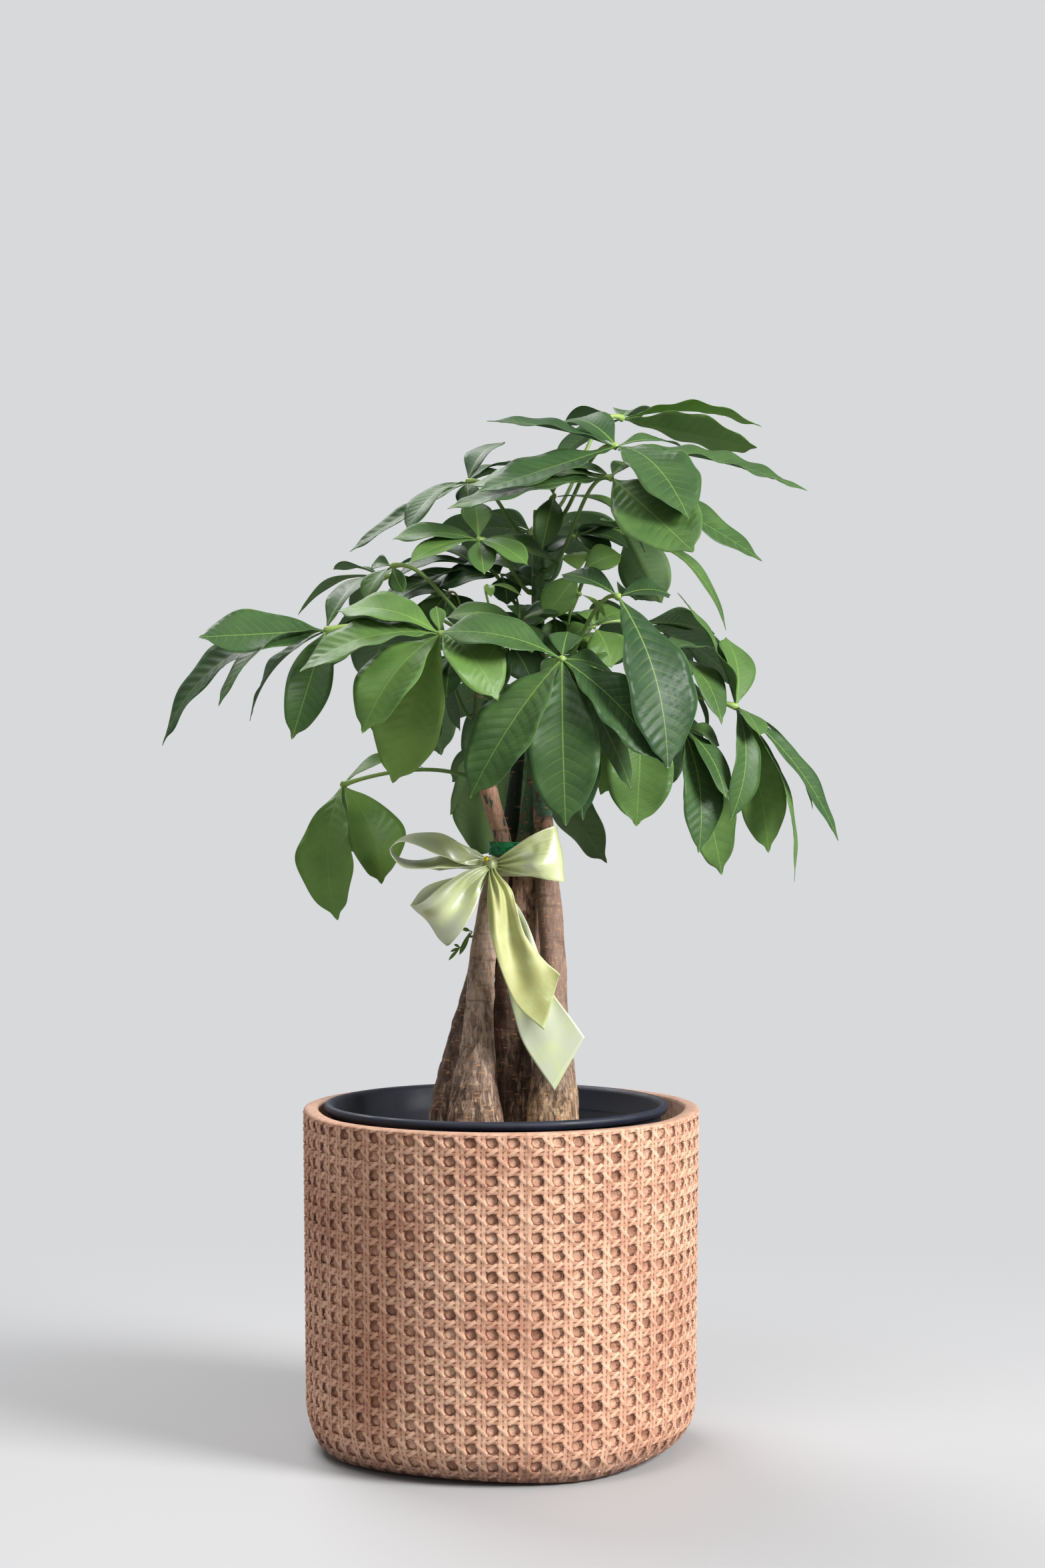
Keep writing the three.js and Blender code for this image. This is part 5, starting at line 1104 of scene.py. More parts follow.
# %% Leaves: one row for each leaf
LEAVES = {
    "leaf_top_back": ("trunk_centre", 597, (80, 50, 667), (0, 0.3, 1), [
        (92, -5, -6, 32, 8, (0, 0.05, 1)), (87, -30, -23, 36, 1, (0, 0.5, 0.87)), (-37, 45, 1, 24, 5),
        (15, 62, 9, 24, 5), (-46, 12, -29, 22, 5),
    ]),
    "leaf_top_front": ("trunk_centre", 590, (74, -10, 641), (0, -0.45, 0.9), [
        (-30, 35, 22, 32, 6), (-83, -10, 15, 30, 4, (0, -0.3, 0.95)), (-88, -55, -35, 36, 1),
        (42, -75, -54, 46, 12, (0.2, -0.6, 0.75)), (121, -15, -30, 34, 6, (0.1, -0.3, 0.95)),
        (45, 45, 5, 18, 5),
    ]),
    "leaf_top_low": ("trunk_centre", 562, (70, -35, 618), (0, -0.4, 0.9), [
        (-103, -25, -22, 34, 4), (-93, 30, -2, 38, 6), (12, 30, 13, 14, 3),
        (48, -60, -52, 52, 2, (-0.1, -0.7, 0.7)), (95, -5, -53, 34, 4, (0.3, -0.5, 0.8)),
        (-30, 25, 9, 14, 3),
    ]),
    "leaf_top_left": ("trunk_centre", 583, (-22, 15, 621), (-0.2, -0.2, 0.95), [
        (23, 35, 30, 24, 6), (-38, -40, -36, 26, 8), (-77, 5, -45, 18, 3, (-0.3, -0.5, 0.8)),
        (45, 40, 8, 24, 5), (27, 60, 18, 22, 4), (2, -18, -20, 16, 3),
    ]),
    "leaf_shoot_top": ("trunk_centre", 600, (34, -8, 609), (0.2, -0.3, 0.9), [
        (58, -12, -37, 18, 14), (-8, -22, -36, 18, 8), (-8, 24, 14, 12, 3),
    ]),
    "leaf_inner_bright": ("trunk_centre", 548, (-14, -30, 579), (0, -0.5, 0.85), [
        (-54, -10, 0, 24, 5), (-3, 25, 27, 20, 3), (54, 10, -6, 24, 5), (-43, -30, -17, 20, 5),
        (31, -30, -18, 20, 4), (4, -30, -24, 18, 3),
    ]),
    "leaf_inner_dark": ("trunk_centre", 534, (-17, 16, 566), (0, -0.3, 0.95), [
        (-28, 20, 14, 20, 4), (-55, -5, -10, 24, 8), (40, 34, 8, 24, 4), (30, -10, -4, 18, 3),
        (-66, -25, -26, 26, 6),
    ]),
    "leaf_left_small": ("trunk_front_left", 526, (-69, -25, 563), (-0.6, -0.5, 0.6), [
        (-16, -15, -23, 22, 3), (-14, 16, 2, 12, 2), (8, -14, -18, 12, 2),
    ]),
    "leaf_left_thin": ("trunk_back", 505, (-78, 18, 559), (0, 0.2, 1), [
        (-55, 5, -24, 14, 10), (-34, 32, 8, 18, 4), (-22, 34, -20, 16, 4), (26, 28, 14, 16, 3),
    ]),
    "leaf_far_left": ("trunk_front_left", 506, (-111, -30, 522), (-0.3, -0.3, 0.9), [
        (-77, -30, -6, 38, 1, (-0.1, -0.75, 0.65)), (-105, 10, -73, 36, 24, (-0.3, -0.5, 0.8)),
        (-62, -54, -50, 24, 14, (-0.5, -0.2, 0.85)), (-50, 18, -57, 30, 10),
        (-18, -42, -70, 28, 10, (0.3, -0.9, 0.4)), (26, 38, 38, 24, 6),
    ]),
    "leaf_front_left": ("trunk_front_left", 497, (-37, -75, 517), (-0.1, -0.5, 0.85), [
        (-64, 12, 15, 34, 8), (-85, -22, -24, 36, 10), (-46, -38, -62, 42, 10), (36, -32, -42, 36, 12),
        (44, 10, 2, 26, 5), (-30, 12, -92, 44, 6, (-0.1, -0.9, 0.4)), (-3, 12, 18, 10, 2),
    ]),
    "leaf_front_centre": ("trunk_right", 481, (38, -85, 501), (0, -0.55, 0.8), [
        (-76, -5, 5, 38, 8), (-56, -25, -85, 42, 10), (2, -22, -102, 44, 10), (62, -18, -64, 42, 8),
        (13, 2, -99, 30, 6), (43, 12, -80, 22, 6), (34, 18, -10, 24, 4), (4, 18, 18, 20, 3),
    ]),
    "leaf_front_right": ("trunk_right", 496, (73, -75, 540), (0.2, -0.5, 0.8), [
        (29, -30, -107, 48, 12), (-35, 15, 15, 26, 4), (33, 12, 2, 24, 5),
        (-44, -12, -18, 30, 20, (-0.2, -0.75, 0.6)), (12, 30, 0, 22, 4),
    ]),
    "leaf_far_right": ("trunk_right", 474, (151, -10, 474), (0.4, -0.1, 0.9), [
        (-6, -25, -73, 24, 10), (22, 15, -94, 32, 6, (0.2, -1, 0.2)), (36, -12, -112, 14, 13),
        (66, 5, -86, 22, 9, (0.5, -0.5, 0.7)), (52, 28, -66, 14, 12), (13, -24, -19, 22, 3),
        (-5, 25, 46, 30, 5), (-37, 12, 74, 20, 5), (-19, -10, 36, 20, 3),
    ]),
    "leaf_right_inner": ("trunk_right", 489, (106, 8, 508), (0.2, -0.2, 0.95), [
        (45, -24, -46, 26, 12), (-18, 36, 8, 20, 3), (30, 42, 5, 24, 5), (30, 12, -54, 26, 6),
        (-8, -30, -30, 24, 4),
    ]),
    "leaf_right_low": ("trunk_right", 456, (116, -15, 461), (0.3, -0.4, 0.85), [
        (9, -22, -80, 30, 8), (26, -28, -46, 20, 6), (26, 10, -95, 34, 6, (0.3, -1, 0.3)),
        (24, 4, -12, 26, 3), (-12, 45, -20, 26, 4),
    ]),
    "leaf_front_low": ("trunk_right", 464, (89, -34, 473), (0.1, -0.5, 0.85), [
        (-4, -18, -75, 42, 6), (-28, -6, -54, 30, 5), (22, 36, -24, 26, 4), (-20, 34, -10, 26, 4),
    ]),
    "leaf_right_back": ("trunk_centre", 520, (80, 15, 589), (0.2, 0.1, 1), [
        (26, 28, -45, 34, 3, (-0.2, 0.9, 0.3)), (67, 10, -64, 14, 16, (0.6, -0.5, 0.6)),
        (-32, 12, -6, 30, 3), (-14, -20, 5, 16, 2), (4, 38, 22, 30, 4),
    ]),
    "leaf_low_left": ("trunk_front_left", 428, (-103, 10, 424), (-0.3, -0.3, 0.9), [
        (26, -10, -64, 44, 10, (0.5, -0.7, 0.5)), (-2, -18, -87, 44, 14), (52, 22, 11, 24, 10),
        (8, 40, -46, 34, 6),
    ]),
    "leaf_behind_bow": ("trunk_back", 446, (2, 64, 444), (0, 0.5, 0.8), [
        (-36, -18, -40, 38, 5), (-26, -6, -68, 44, 6), (-36, 30, -18, 30, 5), (68, -10, -72, 44, 8),
        (14, 50, -46, 40, 8),
    ]),
    "leaf_centre_inner": ("trunk_centre", 498, (52, 2, 522), (0, -0.3, 0.95), [
        (16, -26, -24, 28, 8), (-22, -22, 12, 26, 4), (32, 18, 12, 26, 5), (-25, 24, 8, 26, 5),
        (8, 36, -15, 26, 4),
    ]),
    "leaf_left_inner": ("trunk_front_left", 468, (-42, 10, 500), (-0.1, -0.3, 0.95), [
        (-52, 6, -16, 32, 6), (-30, -34, -16, 28, 5), (-24, 40, 14, 28, 5), (22, -26, 4, 24, 4),
        (14, 34, 6, 26, 4), (-2, 8, -50, 26, 5),
    ]),
    "leaf_back_top": ("trunk_centre", 574, (20, 74, 594), (0, 0.45, 0.9), [
        (-70, 26, -6, 34, 8), (-46, 74, -20, 36, 10), (6, 90, -36, 38, 10), (54, 66, -20, 34, 10),
        (66, 14, -4, 30, 8), (-30, -16, 12, 18, 3),
    ]),
    "leaf_back_left": ("trunk_back", 500, (-66, 84, 538), (-0.35, 0.35, 0.85), [
        (-46, 6, -6, 30, 5), (-66, 42, -42, 38, 10), (-26, 78, -44, 40, 10), (20, 66, -24, 34, 8),
        (38, 20, 6, 28, 5),
    ]),
    "leaf_back_right": ("trunk_back", 508, (92, 86, 532), (0.35, 0.4, 0.85), [
        (52, 0, -6, 30, 5), (74, 48, -44, 38, 10), (30, 80, -48, 40, 10), (-22, 70, -26, 34, 8),
        (-34, 26, 8, 28, 5),
    ]),
    "leaf_back_middle": ("trunk_back", 484, (14, 106, 492), (0, 0.55, 0.8), [
        (-60, 22, -22, 32, 6), (-36, 60, -64, 40, 10), (8, 62, -84, 42, 12), (48, 44, -62, 40, 10),
        (60, 6, -14, 30, 6),
    ]),
    "leaf_back_low_left": ("trunk_back", 466, (-58, 80, 500), (-0.35, 0.35, 0.85), [
        (-34, 20, -22, 32, 5), (-20, 40, -50, 40, 8), (14, 48, -52, 40, 8), (30, -14, -40, 30, 5),
    ]),
    "leaf_back_low_right": ("trunk_back", 454, (84, 80, 478), (0.3, 0.4, 0.85), [
        (54, 14, -30, 34, 6), (30, 46, -58, 40, 8), (-16, 52, -58, 40, 8), (-2, -22, -46, 32, 6),
    ]),
    "leaf_young_left": ("trunk_front_left", 531, (-9, -14, 551), (0, -0.4, 0.9), [
        (10, 4, 7, 5, 2), (22, -2, -6, 7, 3), (-18, -6, -11, 7, 3), (3, -18, -8, 7, 3), (-8, 13, 6, 5, 2),
    ]),
    "leaf_young_right": ("trunk_right", 505, (50, -42, 544), (0, -0.4, 0.9), [
        (7, 3, 7, 4, 2), (-9, -3, -1, 4, 2), (16, -4, -15, 6, 3), (-3, -10, -16, 6, 3), (4, 14, 2, 5, 2),
    ]),
}
YOUNG, YOUNG_SLIM = ("leaf_young_left", "leaf_young_right"), 0.6
print(len(LEAVES), "leaves with", sum(len(leaf[4]) for leaf in LEAVES.values()), "leaflets")

# %% Leaves: how each lies
BLADE_THICKNESS = 0.7
SEAT_TOLERANCE = 0.1
BENDS = [(0, 1), (0, -1), (1, 0), (-1, 0), (0.7, 0.7), (-0.7, 0.7), (0.7, -0.7), (-0.7, -0.7)]
TURNS = [(0, 0)] + [(a * reach, b * reach) for reach in (5, 10, 15, 20, 26, 32, 40) for a, b in BENDS]


def about(vector, axis, angle):
    """A vector turned about an axis, in degrees."""
    turn = math.radians(angle)
    return (vector * math.cos(turn) + np.cross(axis, vector) * math.sin(turn)
            + axis * (axis @ vector) * (1 - math.cos(turn)))


def blade_frame(offset, face):
    """Across the blade and out of its upper side, for a leaflet along `offset`."""
    along = unit(offset)
    out = unit(face - along * (face @ along))
    return np.cross(along, out), out


def corners_of(node):
    """The corners of a frame solid in mm, ready to be searched."""
    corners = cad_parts[node].data.vertices
    tree_of = KDTree(len(corners))
    for i, corner in enumerate(corners):
        tree_of.insert(corner.co / MM, i)
    tree_of.balance()
    return tree_of


def seated(hub, leaflet, face, corners):
    """The leaflet's length and turn, or None if the frame's leaf doesn't have it."""
    straight = np.array(leaflet[:3], float)
    across, out = blade_frame(straight, face)
    for a, b in TURNS:
        offset = about(about(straight, out, a), across, b)
        tip_across, tip_out = blade_frame(offset, face)
        tips = [hub + offset + tip_out * side * BLADE_THICKNESS / 2 for side in (1, -1)]
        if max(corners.find(tip)[2] for tip in tips) < SEAT_TOLERANCE:
            return offset, tip_across, tip_out
    return None


print(len(TURNS), "turns are tried for each leaflet")

# %% Leaves: how each stalk bends
PETIOLE_RADIUS = 1.5
JOINT_GAP = 0.6
STALK_POINTS = 22
SWAYS = [0, 0.1, -0.1, 0.2, -0.2, 0.3, -0.3, 0.4, -0.4]
REACH, FOOT_LIFT, HUB_LIFT = 0.3, 0.12, 0.1
RING_FROM, RING_TO, RING_POINTS = 0.9, 1.1, 3


def bezier(a, b, c, d, t):
    """A point on the cubic Bezier curve from `a` to `d`."""
    return (1 - t) ** 3 * a + 3 * (1 - t) ** 2 * t * b + 3 * (1 - t) * t**2 * c + t**3 * d


def stalk_route(trunk_name, at, hub, corners, slim):
    """The stalk's curve from the bark to the hub, with the sway of the frame's stalk where there is one."""
    middle, radius = trunk_at(trunk_name, at)
    level = unit((hub - middle) * (1, 1, 0))
    start = middle + level * (radius * (1 + TRUNK_LOBES) + JOINT_GAP)
    length = np.linalg.norm(hub - start)
    side = np.array([-level[1], level[0], 0])
    foot = start + level * PETIOLE_RADIUS * 2
    for sway in SWAYS:
        bow = side * sway * length
        first = start + level * length * REACH + np.array([0, 0, length * FOOT_LIFT]) + bow
        last = hub - level * length * REACH + np.array([0, 0, length * HUB_LIFT]) + bow
        if corners is None:
            break
        third = bezier(foot, first, last, hub, 1 / 3)
        near = [d for _, _, d in corners.find_range(third, PETIOLE_RADIUS * slim * RING_TO)]
        if sum(d > PETIOLE_RADIUS * slim * RING_FROM for d in near) >= RING_POINTS:
            break
    curve = [bezier(foot, first, last, hub, t) for t in np.linspace(0, 1, STALK_POINTS)]
    return np.array([start - level * JOINT_GAP, *curve])


print(len(SWAYS), "sways are tried for each stalk")

# %% [markdown]
# A leaflet of this tree is widest past its middle and ends in a short drawn-out tip. It is folded a little
# along its midrib, its side veins are pressed in on the upper side, and the blade swells between them, so
# the light runs over it in ripples. The ripples are real relief, with a row of points every 1.7 mm, and the
# same vein count goes along as a value, so that the finish can draw each vein where the relief has it.
# Both sides are cut into triangles along the same diagonals, or the underside would show through here and
# there where the relief is steep, because a leaf is only a fifth of a millimetre thick.

# %% Leaves: one leaflet
HUB_RADIUS = 3.3
STEP_MM, FEWEST_STEPS, MOST_STEPS = 1.7, 14, 66
ACROSS = 12
VEIN_SPACING, VEINS_NEAREST, VEINS_FURTHEST = 0.072, 2.2, 7.5
VEIN_LEAN, VEIN_CURVE = 0.42, 0.32
RIPPLE_LENGTHS = (24, 38)
SIDEWAYS = 0.02
WIDEST_A, WIDEST_B = 1.3, 0.95
PINCH, PINCH_AT, PINCH_LENGTH, BASE_SHARE = 0.42, 0.955, 0.035, 0.035
BASE_RISE, TIP_FALL = 8, 7
SWELL_HEIGHTS, SWELL_FULL_WIDTH = (0.45, 0.95), 40
EDGE_RIPPLE, EDGE_RIPPLE_LIMIT = 0.035, 1.5
BLADE_EDGE, FOLD = 0.22, 0.22
UPPER, UNDER, STALK = 0, 1, 2


def outline(s):
    """Share of the full half width at each share of the length."""
    peak = WIDEST_A / (WIDEST_A + WIDEST_B)
    top = peak**WIDEST_A * (1 - peak) ** WIDEST_B
    body = s**WIDEST_A * (1 - s) ** WIDEST_B / top
    drawn_out = 1 - PINCH * np.exp(-(((s - PINCH_AT) / PINCH_LENGTH) ** 2))
    return body * drawn_out + BASE_SHARE * (1 - s)


def both_sides(values):
    """Values of a blade's upper side, and then of its underside in the order of its points."""
    return np.concatenate([values, values[:, ::-1]], axis=1).ravel()


def leaflet_skin(heap, hub, width, arch, lay, tone, draw, from_hub=True):
    """One leaflet from its hub along `lay`, which is its length and turn and the two directions across it."""
    offset, across, out = lay
    length = float(np.linalg.norm(offset))
    steps = int(np.clip(length / STEP_MM, FEWEST_STEPS, MOST_STEPS))
    s = np.linspace(0, 1, steps + 1)[:, None]
    root = HUB_RADIUS * 0.6 / length if from_hub else 0
    t = root + (1 - root) * s
    spread = np.linspace(-1, 1, ACROSS + 1)
    u = (np.sign(spread) * abs(spread) ** 1.25)[None, :]
    half = outline(s) * width / 2
    x = u * half
    spacing = np.clip(length * VEIN_SPACING, VEINS_NEAREST, VEINS_FURTHEST)
    forward = abs(x) * VEIN_LEAN + VEIN_CURVE * half * u**2
    phase = (t * length - forward) / spacing + draw.random()
    ends = np.clip(s * BASE_RISE, 0, 1) * np.clip((1 - s) * TIP_FALL, 0, 1)
    swell = -0.5 * np.cos(2 * math.pi * phase) * smoothstep(0, 0.25, abs(u)) * smoothstep(1, 0.75, abs(u))
    height = swell * ends * min(width / SWELL_FULL_WIDTH, 1) * draw.uniform(*SWELL_HEIGHTS)
    wave_length = draw.uniform(*RIPPLE_LENGTHS)
    shift = draw.uniform(0, 6.3), draw.uniform(0, 6.3)
    ripple = np.where(u < 0, np.sin(t * length / wave_length * 6.28 + shift[0]),
                      np.sin(t * length / wave_length * 6.28 + shift[1]))
    height = height + ripple * abs(u) ** 3 * ends * min(width * EDGE_RIPPLE, EDGE_RIPPLE_LIMIT)
    folded = np.sin(math.pi * np.minimum(s + 0.1, 1)) * FOLD * half * abs(u) ** 1.35
    rise = 4 * arch * t * (1 - t)
    bend = draw.uniform(-SIDEWAYS, SIDEWAYS) * length * np.sin(math.pi * s)
    rib = hub + offset * t[:, :, None] + out * rise[:, :, None] + across * bend[:, :, None]
    face = rib + across * x[:, :, None] + out * (folded + height)[:, :, None]
    keel = 0.5 * BLADE_EDGE + (1.0 * (1 - 0.75 * s) * min(width / 30, 1)) * np.exp(-((x / 0.9) ** 2))
    top = face + out * (0.5 * BLADE_EDGE)
    below = face - out * keel[:, :, None]
    rings = np.concatenate([top, below[:, ::-1]], axis=1)
    full = np.broadcast_to
    blade = np.stack([both_sides(v) for v in (full(u, x.shape), full(s, x.shape), phase)], -1)
    inside = np.stack([both_sides(v) for v in (x, full(tone, x.shape), full(length / 100, x.shape))], -1)
    count = 2 * (ACROSS + 1)
    halves, finish = [], []
    *quads, base, tip = skin(steps + 1, count)
    for n, (a, b, c, d) in enumerate(quads):
        looks_up = n % count < ACROSS or n % count == count - 1
        halves += [[a, b, c], [a, c, d]] if looks_up else [[b, c, d], [b, d, a]]
        finish += [UPPER if looks_up else UNDER] * 2
    heap.put(rings.reshape(-1, 3), halves + [base, tip], finish + [UPPER, UPPER], blade=blade, inside=inside)


print("a leaflet is widest at", round(WIDEST_A / (WIDEST_A + WIDEST_B), 2), "of its length")

# %% Leaves: stalk and whole leaf
STALK_MIDDLE, FOOT_SWELL, FOOT_FALL, HUB_SWELL, HUB_FALL = 0.86, 0.6, 14, 0.9, 22


def stalk_radii(count, slim):
    """Radii along a stalk, which is thicker at the bark and swollen at the hub."""
    s = np.linspace(0, 1, count)
    return PETIOLE_RADIUS * slim * (STALK_MIDDLE + FOOT_SWELL * np.exp(-s * FOOT_FALL)
                                    + HUB_SWELL * np.exp(-(1 - s) * HUB_FALL))


def stalk_skin(heap, route, radii, tone, sides=8):
    """A stalk as a tube. Its values lie where a leaflet's do, with the share of its length in the middle."""
    points, faces = tube(route, radii, sides)
    s = np.repeat(np.linspace(0, 1, len(route)), sides)
    still = np.zeros_like(s)
    heap.put(points, faces, STALK, blade=np.stack([still, s, still], -1),
             inside=np.stack([still, still + tone, still], -1))


def leaf(node, trunk_name, at, hub, face, leaflets, tone, finishes, draw):
    """A stalk from the bark to the hub, and each leaflet that the frame's leaf has too."""
    young = node in YOUNG
    slim = YOUNG_SLIM if young else 1
    hub, face = np.array(hub, float), unit(face)
    corners = corners_of(node)
    heap = Heap()
    route = stalk_route(trunk_name, at, hub, corners, slim)
    stalk_skin(heap, np.vstack([route, hub + unit(route[-1] - route[-2]) * 1.6 * slim]),
               np.append(stalk_radii(len(route), slim), 0.7 * slim), tone)
    missing = 0
    for leaflet in leaflets:
        looks = unit(leaflet[5]) if len(leaflet) > 5 else face
        lay = seated(hub, leaflet, looks, corners)
        if lay is None:
            missing += 1
            continue
        own_tone = tone + draw.uniform(-0.1, 0.1) + LEAFLET_TONE_AND_LIGHT.get((node, leaflet[:3]), 0)
        leaflet_skin(heap, hub, leaflet[3], leaflet[4], lay, own_tone, draw)
    if missing:
        print(node, "lacks", missing, "leaflets that the frame hasn't either")
    return heap.piece(node, finishes, "young_leaf" if young else "leaf")


print("stalks are", 2 * PETIOLE_RADIUS, "mm thick, and the youngest", 2 * PETIOLE_RADIUS * YOUNG_SLIM, "mm")

# %% [markdown]
# A leaf is a thin wet layer under a waxy skin. The wax gives a soft shine on the upper side, and the light
# that goes in comes out again, some of it through the other side, so a little of a Translucent shader is
# mixed in. The underside has less wax, so it is paler and duller. Tone runs from the deep blue-green of an
# old shaded leaf to the yellow-green of a young one. Midrib and side veins are pale lines, drawn from the
# values that the mesh carries: distance from the midrib in mm, and the vein count.

# %% Leaf, waxed and veined
LEAF_CLOUD_MM, LEAF_GRAIN_MM, LEAF_NET_MM = 22, 1.3, 1.6


def leaf_face(name, ramp, roughness, vein_colour, vein_share, through):
    """One side of a leaf. `through` is the share of light that comes from the other side."""
    finish, tree, shader = material(name, IOR=1.45, Specular_IOR_Level=0.32)
    blade = add(tree, "Attribute", attribute_name="blade").outputs["Vector"]
    blade = add(tree, "SeparateXYZ", {"Vector": blade})
    inside = add(tree, "Attribute", attribute_name="inside").outputs["Vector"]
    inside = add(tree, "SeparateXYZ", {"Vector": inside})
    place = add(tree, "TexCoord").outputs["Object"]
    cloud = add(tree, "TexNoise", {"Vector": place, "Scale": 1 / (LEAF_CLOUD_MM * MM), "Detail": 3.0})
    grain = add(tree, "TexNoise", {"Vector": place, "Scale": 1 / (LEAF_GRAIN_MM * MM), "Detail": 2.0})
    from_mid = add(tree, "Math", {0: cloud, 1: 0.5}, operation="SUBTRACT")
    tone = add(tree, "Math", {0: from_mid, 1: 0.35, 2: inside.outputs["Y"]}, operation="MULTIPLY_ADD")
    flesh = add(tree, "ValToRGB", {"Fac": tone}, stops=ramp)
    count = add(tree, "Math", {0: blade.outputs["Z"], 1: 0.5}, operation="PINGPONG")
    near_vein = add(tree, "MapRange", {"Value": count, "From Min": 0.085, "From Max": 0.02},
                    interpolation_type="SMOOTHSTEP")
    from_rib = add(tree, "Math", {0: inside.outputs["X"]}, operation="ABSOLUTE")
    thin = add(tree, "MapRange", {"Value": blade.outputs["Y"], "To Min": 1.0, "To Max": 0.35})
    from_rib = add(tree, "Math", {0: from_rib, 1: thin}, operation="DIVIDE")
    rib = add(tree, "MapRange", {"Value": from_rib, "From Min": 0.75, "From Max": 0.25, "To Max": 0.85},
              interpolation_type="SMOOTHSTEP")
    out_to_edge = add(tree, "Math", {0: blade.outputs["X"]}, operation="ABSOLUTE")
    fade = add(tree, "MapRange", {"Value": out_to_edge, "From Min": 0.85, "From Max": 0.3,
                                  "To Max": vein_share})
    side_vein = add(tree, "Math", {0: near_vein, 1: fade}, operation="MULTIPLY")
    veined = add(tree, "MixRGB", {"Fac": side_vein, "Color1": flesh, "Color2": vein_colour})
    margin = add(tree, "MapRange", {"Value": out_to_edge, "From Min": 0.965, "From Max": 1.0, "To Max": 0.3})
    rimmed = add(tree, "MixRGB", {"Fac": margin, "Color1": veined, "Color2": "#8DB86A"})
    ribbed = add(tree, "MixRGB", {"Fac": rib, "Color1": rimmed, "Color2": vein_colour})
    dull = add(tree, "MapRange", {"Value": cloud, "From Min": 0.35, "From Max": 0.7,
                                  "To Min": roughness - 0.06, "To Max": roughness + 0.1})
    net = add(tree, "TexVoronoi", {"Vector": place, "Scale": 1 / (LEAF_NET_MM * MM)},
              feature="DISTANCE_TO_EDGE")
    fine = add(tree, "Math", {0: grain, 1: 0.5, 2: net}, operation="MULTIPLY_ADD")
    bumps = add(tree, "Bump", {"Height": fine, "Strength": 0.25, "Distance": 0.25 * MM})
    feed(tree, shader, {"Base Color": ribbed, "Roughness": dull, "Normal": bumps})
    lit = add(tree, "MixRGB", {"Fac": 1.0, "Color1": ribbed, "Color2": "#E6F08A"}, blend_type="MULTIPLY")
    glow = add(tree, "BsdfTranslucent", {"Color": lit})
    blend = add(tree, "MixShader", {0: through, 1: shader, 2: glow})
    feed(tree, tree.nodes["Material Output"], {"Surface": blend})
    return finish


UPPER_RAMP = [(0.0, "#28422F"), (0.3, "#385633"), (0.5, "#4A6A39"), (0.75, "#678C45"), (1.0, "#8AAD56")]
UNDER_RAMP = [(0.0, "#5A785A"), (0.5, "#76966C"), (1.0, "#98B972")]
upper = leaf_face("leaf_waxed_upper", UPPER_RAMP, 0.44, "#86A653", 0.2, 0.22)
under = leaf_face("leaf_underside", UNDER_RAMP, 0.55, "#A0BC74", 0.35, 0.5)
print("leaf finishes:", upper.name, "and", under.name)

# %% Leaf stalk, smooth and green
FLECK_MM = 3
stem, tree, shader = material("leaf_stalk_green", Roughness=0.45, IOR=1.45)
blade = add(tree, "Attribute", attribute_name="blade").outputs["Vector"]
blade = add(tree, "SeparateXYZ", {"Vector": blade})
place = add(tree, "TexCoord").outputs["Object"]
fleck = add(tree, "TexNoise", {"Vector": place, "Scale": 1 / (FLECK_MM * MM), "Detail": 3.0})
along = add(tree, "Math", {0: fleck, 1: 0.25, 2: blade.outputs["Y"]}, operation="MULTIPLY_ADD")
green = add(tree, "ValToRGB", {"Fac": along}, stops=[(0.1, "#557636"), (0.6, "#6F9044"), (1.05, "#8FAA58")])
feed(tree, shader, {"Base Color": green})
print("stalk finish:", stem.name)

# %% Leaves: tones and growing them
# Each leaf's tone, and the shifts below for single leaflets, are partly the leaf's own colour and partly
# painted light and shade: raised on leaves and leaflets that lie in shade or glow from behind, and lowered on
# some that catch strong light.
LEAF_TONES_AND_LIGHT = {
    "leaf_top_back": 0.45, "leaf_top_front": 0.38, "leaf_top_low": 0.52, "leaf_top_left": 0.4,
    "leaf_shoot_top": 0.6, "leaf_inner_bright": 0.62, "leaf_inner_dark": 0.32, "leaf_left_small": 0.5,
    "leaf_left_thin": 0.6, "leaf_far_left": 0.42, "leaf_front_left": 0.7, "leaf_front_centre": 0.42,
    "leaf_front_right": 0.3, "leaf_far_right": 0.6, "leaf_right_inner": 0.45, "leaf_right_low": 0.52,
    "leaf_front_low": 0.58, "leaf_low_left": 0.76, "leaf_behind_bow": 0.72, "leaf_centre_inner": 0.8,
    "leaf_right_back": 0.62, "leaf_left_inner": 0.5, "leaf_young_left": 0.95, "leaf_young_right": 0.95,
}
BACK_TONE = 0.45
LEAFLET_TONE_AND_LIGHT = {
    ("leaf_top_back", (92, -5, -6)): 0.4,
    ("leaf_top_back", (87, -30, -23)): 0.5,
    ("leaf_front_low", (-4, -18, -75)): 0.1,
    ("leaf_front_low", (-28, -6, -54)): 0.12,
    ("leaf_front_left", (-30, 12, -92)): 0.15,
    ("leaf_front_right", (-44, -12, -18)): 0.25,
    ("leaf_right_low", (26, 10, -95)): 0.12,
    ("leaf_far_right", (22, 15, -94)): 0.25,
    ("leaf_far_right", (66, 5, -86)): -0.3,
    ("leaf_far_right", (-6, -25, -73)): -0.15,
}

growth = random.Random(23)
for node, (trunk_name, at, hub, face, leaflets) in LEAVES.items():
    tone = LEAF_TONES_AND_LIGHT.get(node, BACK_TONE)
    leaf(node, trunk_name, at, hub, face, leaflets, tone, [upper, under, stem], growth)

# %% [markdown]
# The middle of the crown is full of small leaves on thin bright stalks, which the frame leaves out. They
# hide most of the stems there. Each one is grown as the others are, but nothing in the frame seats it.

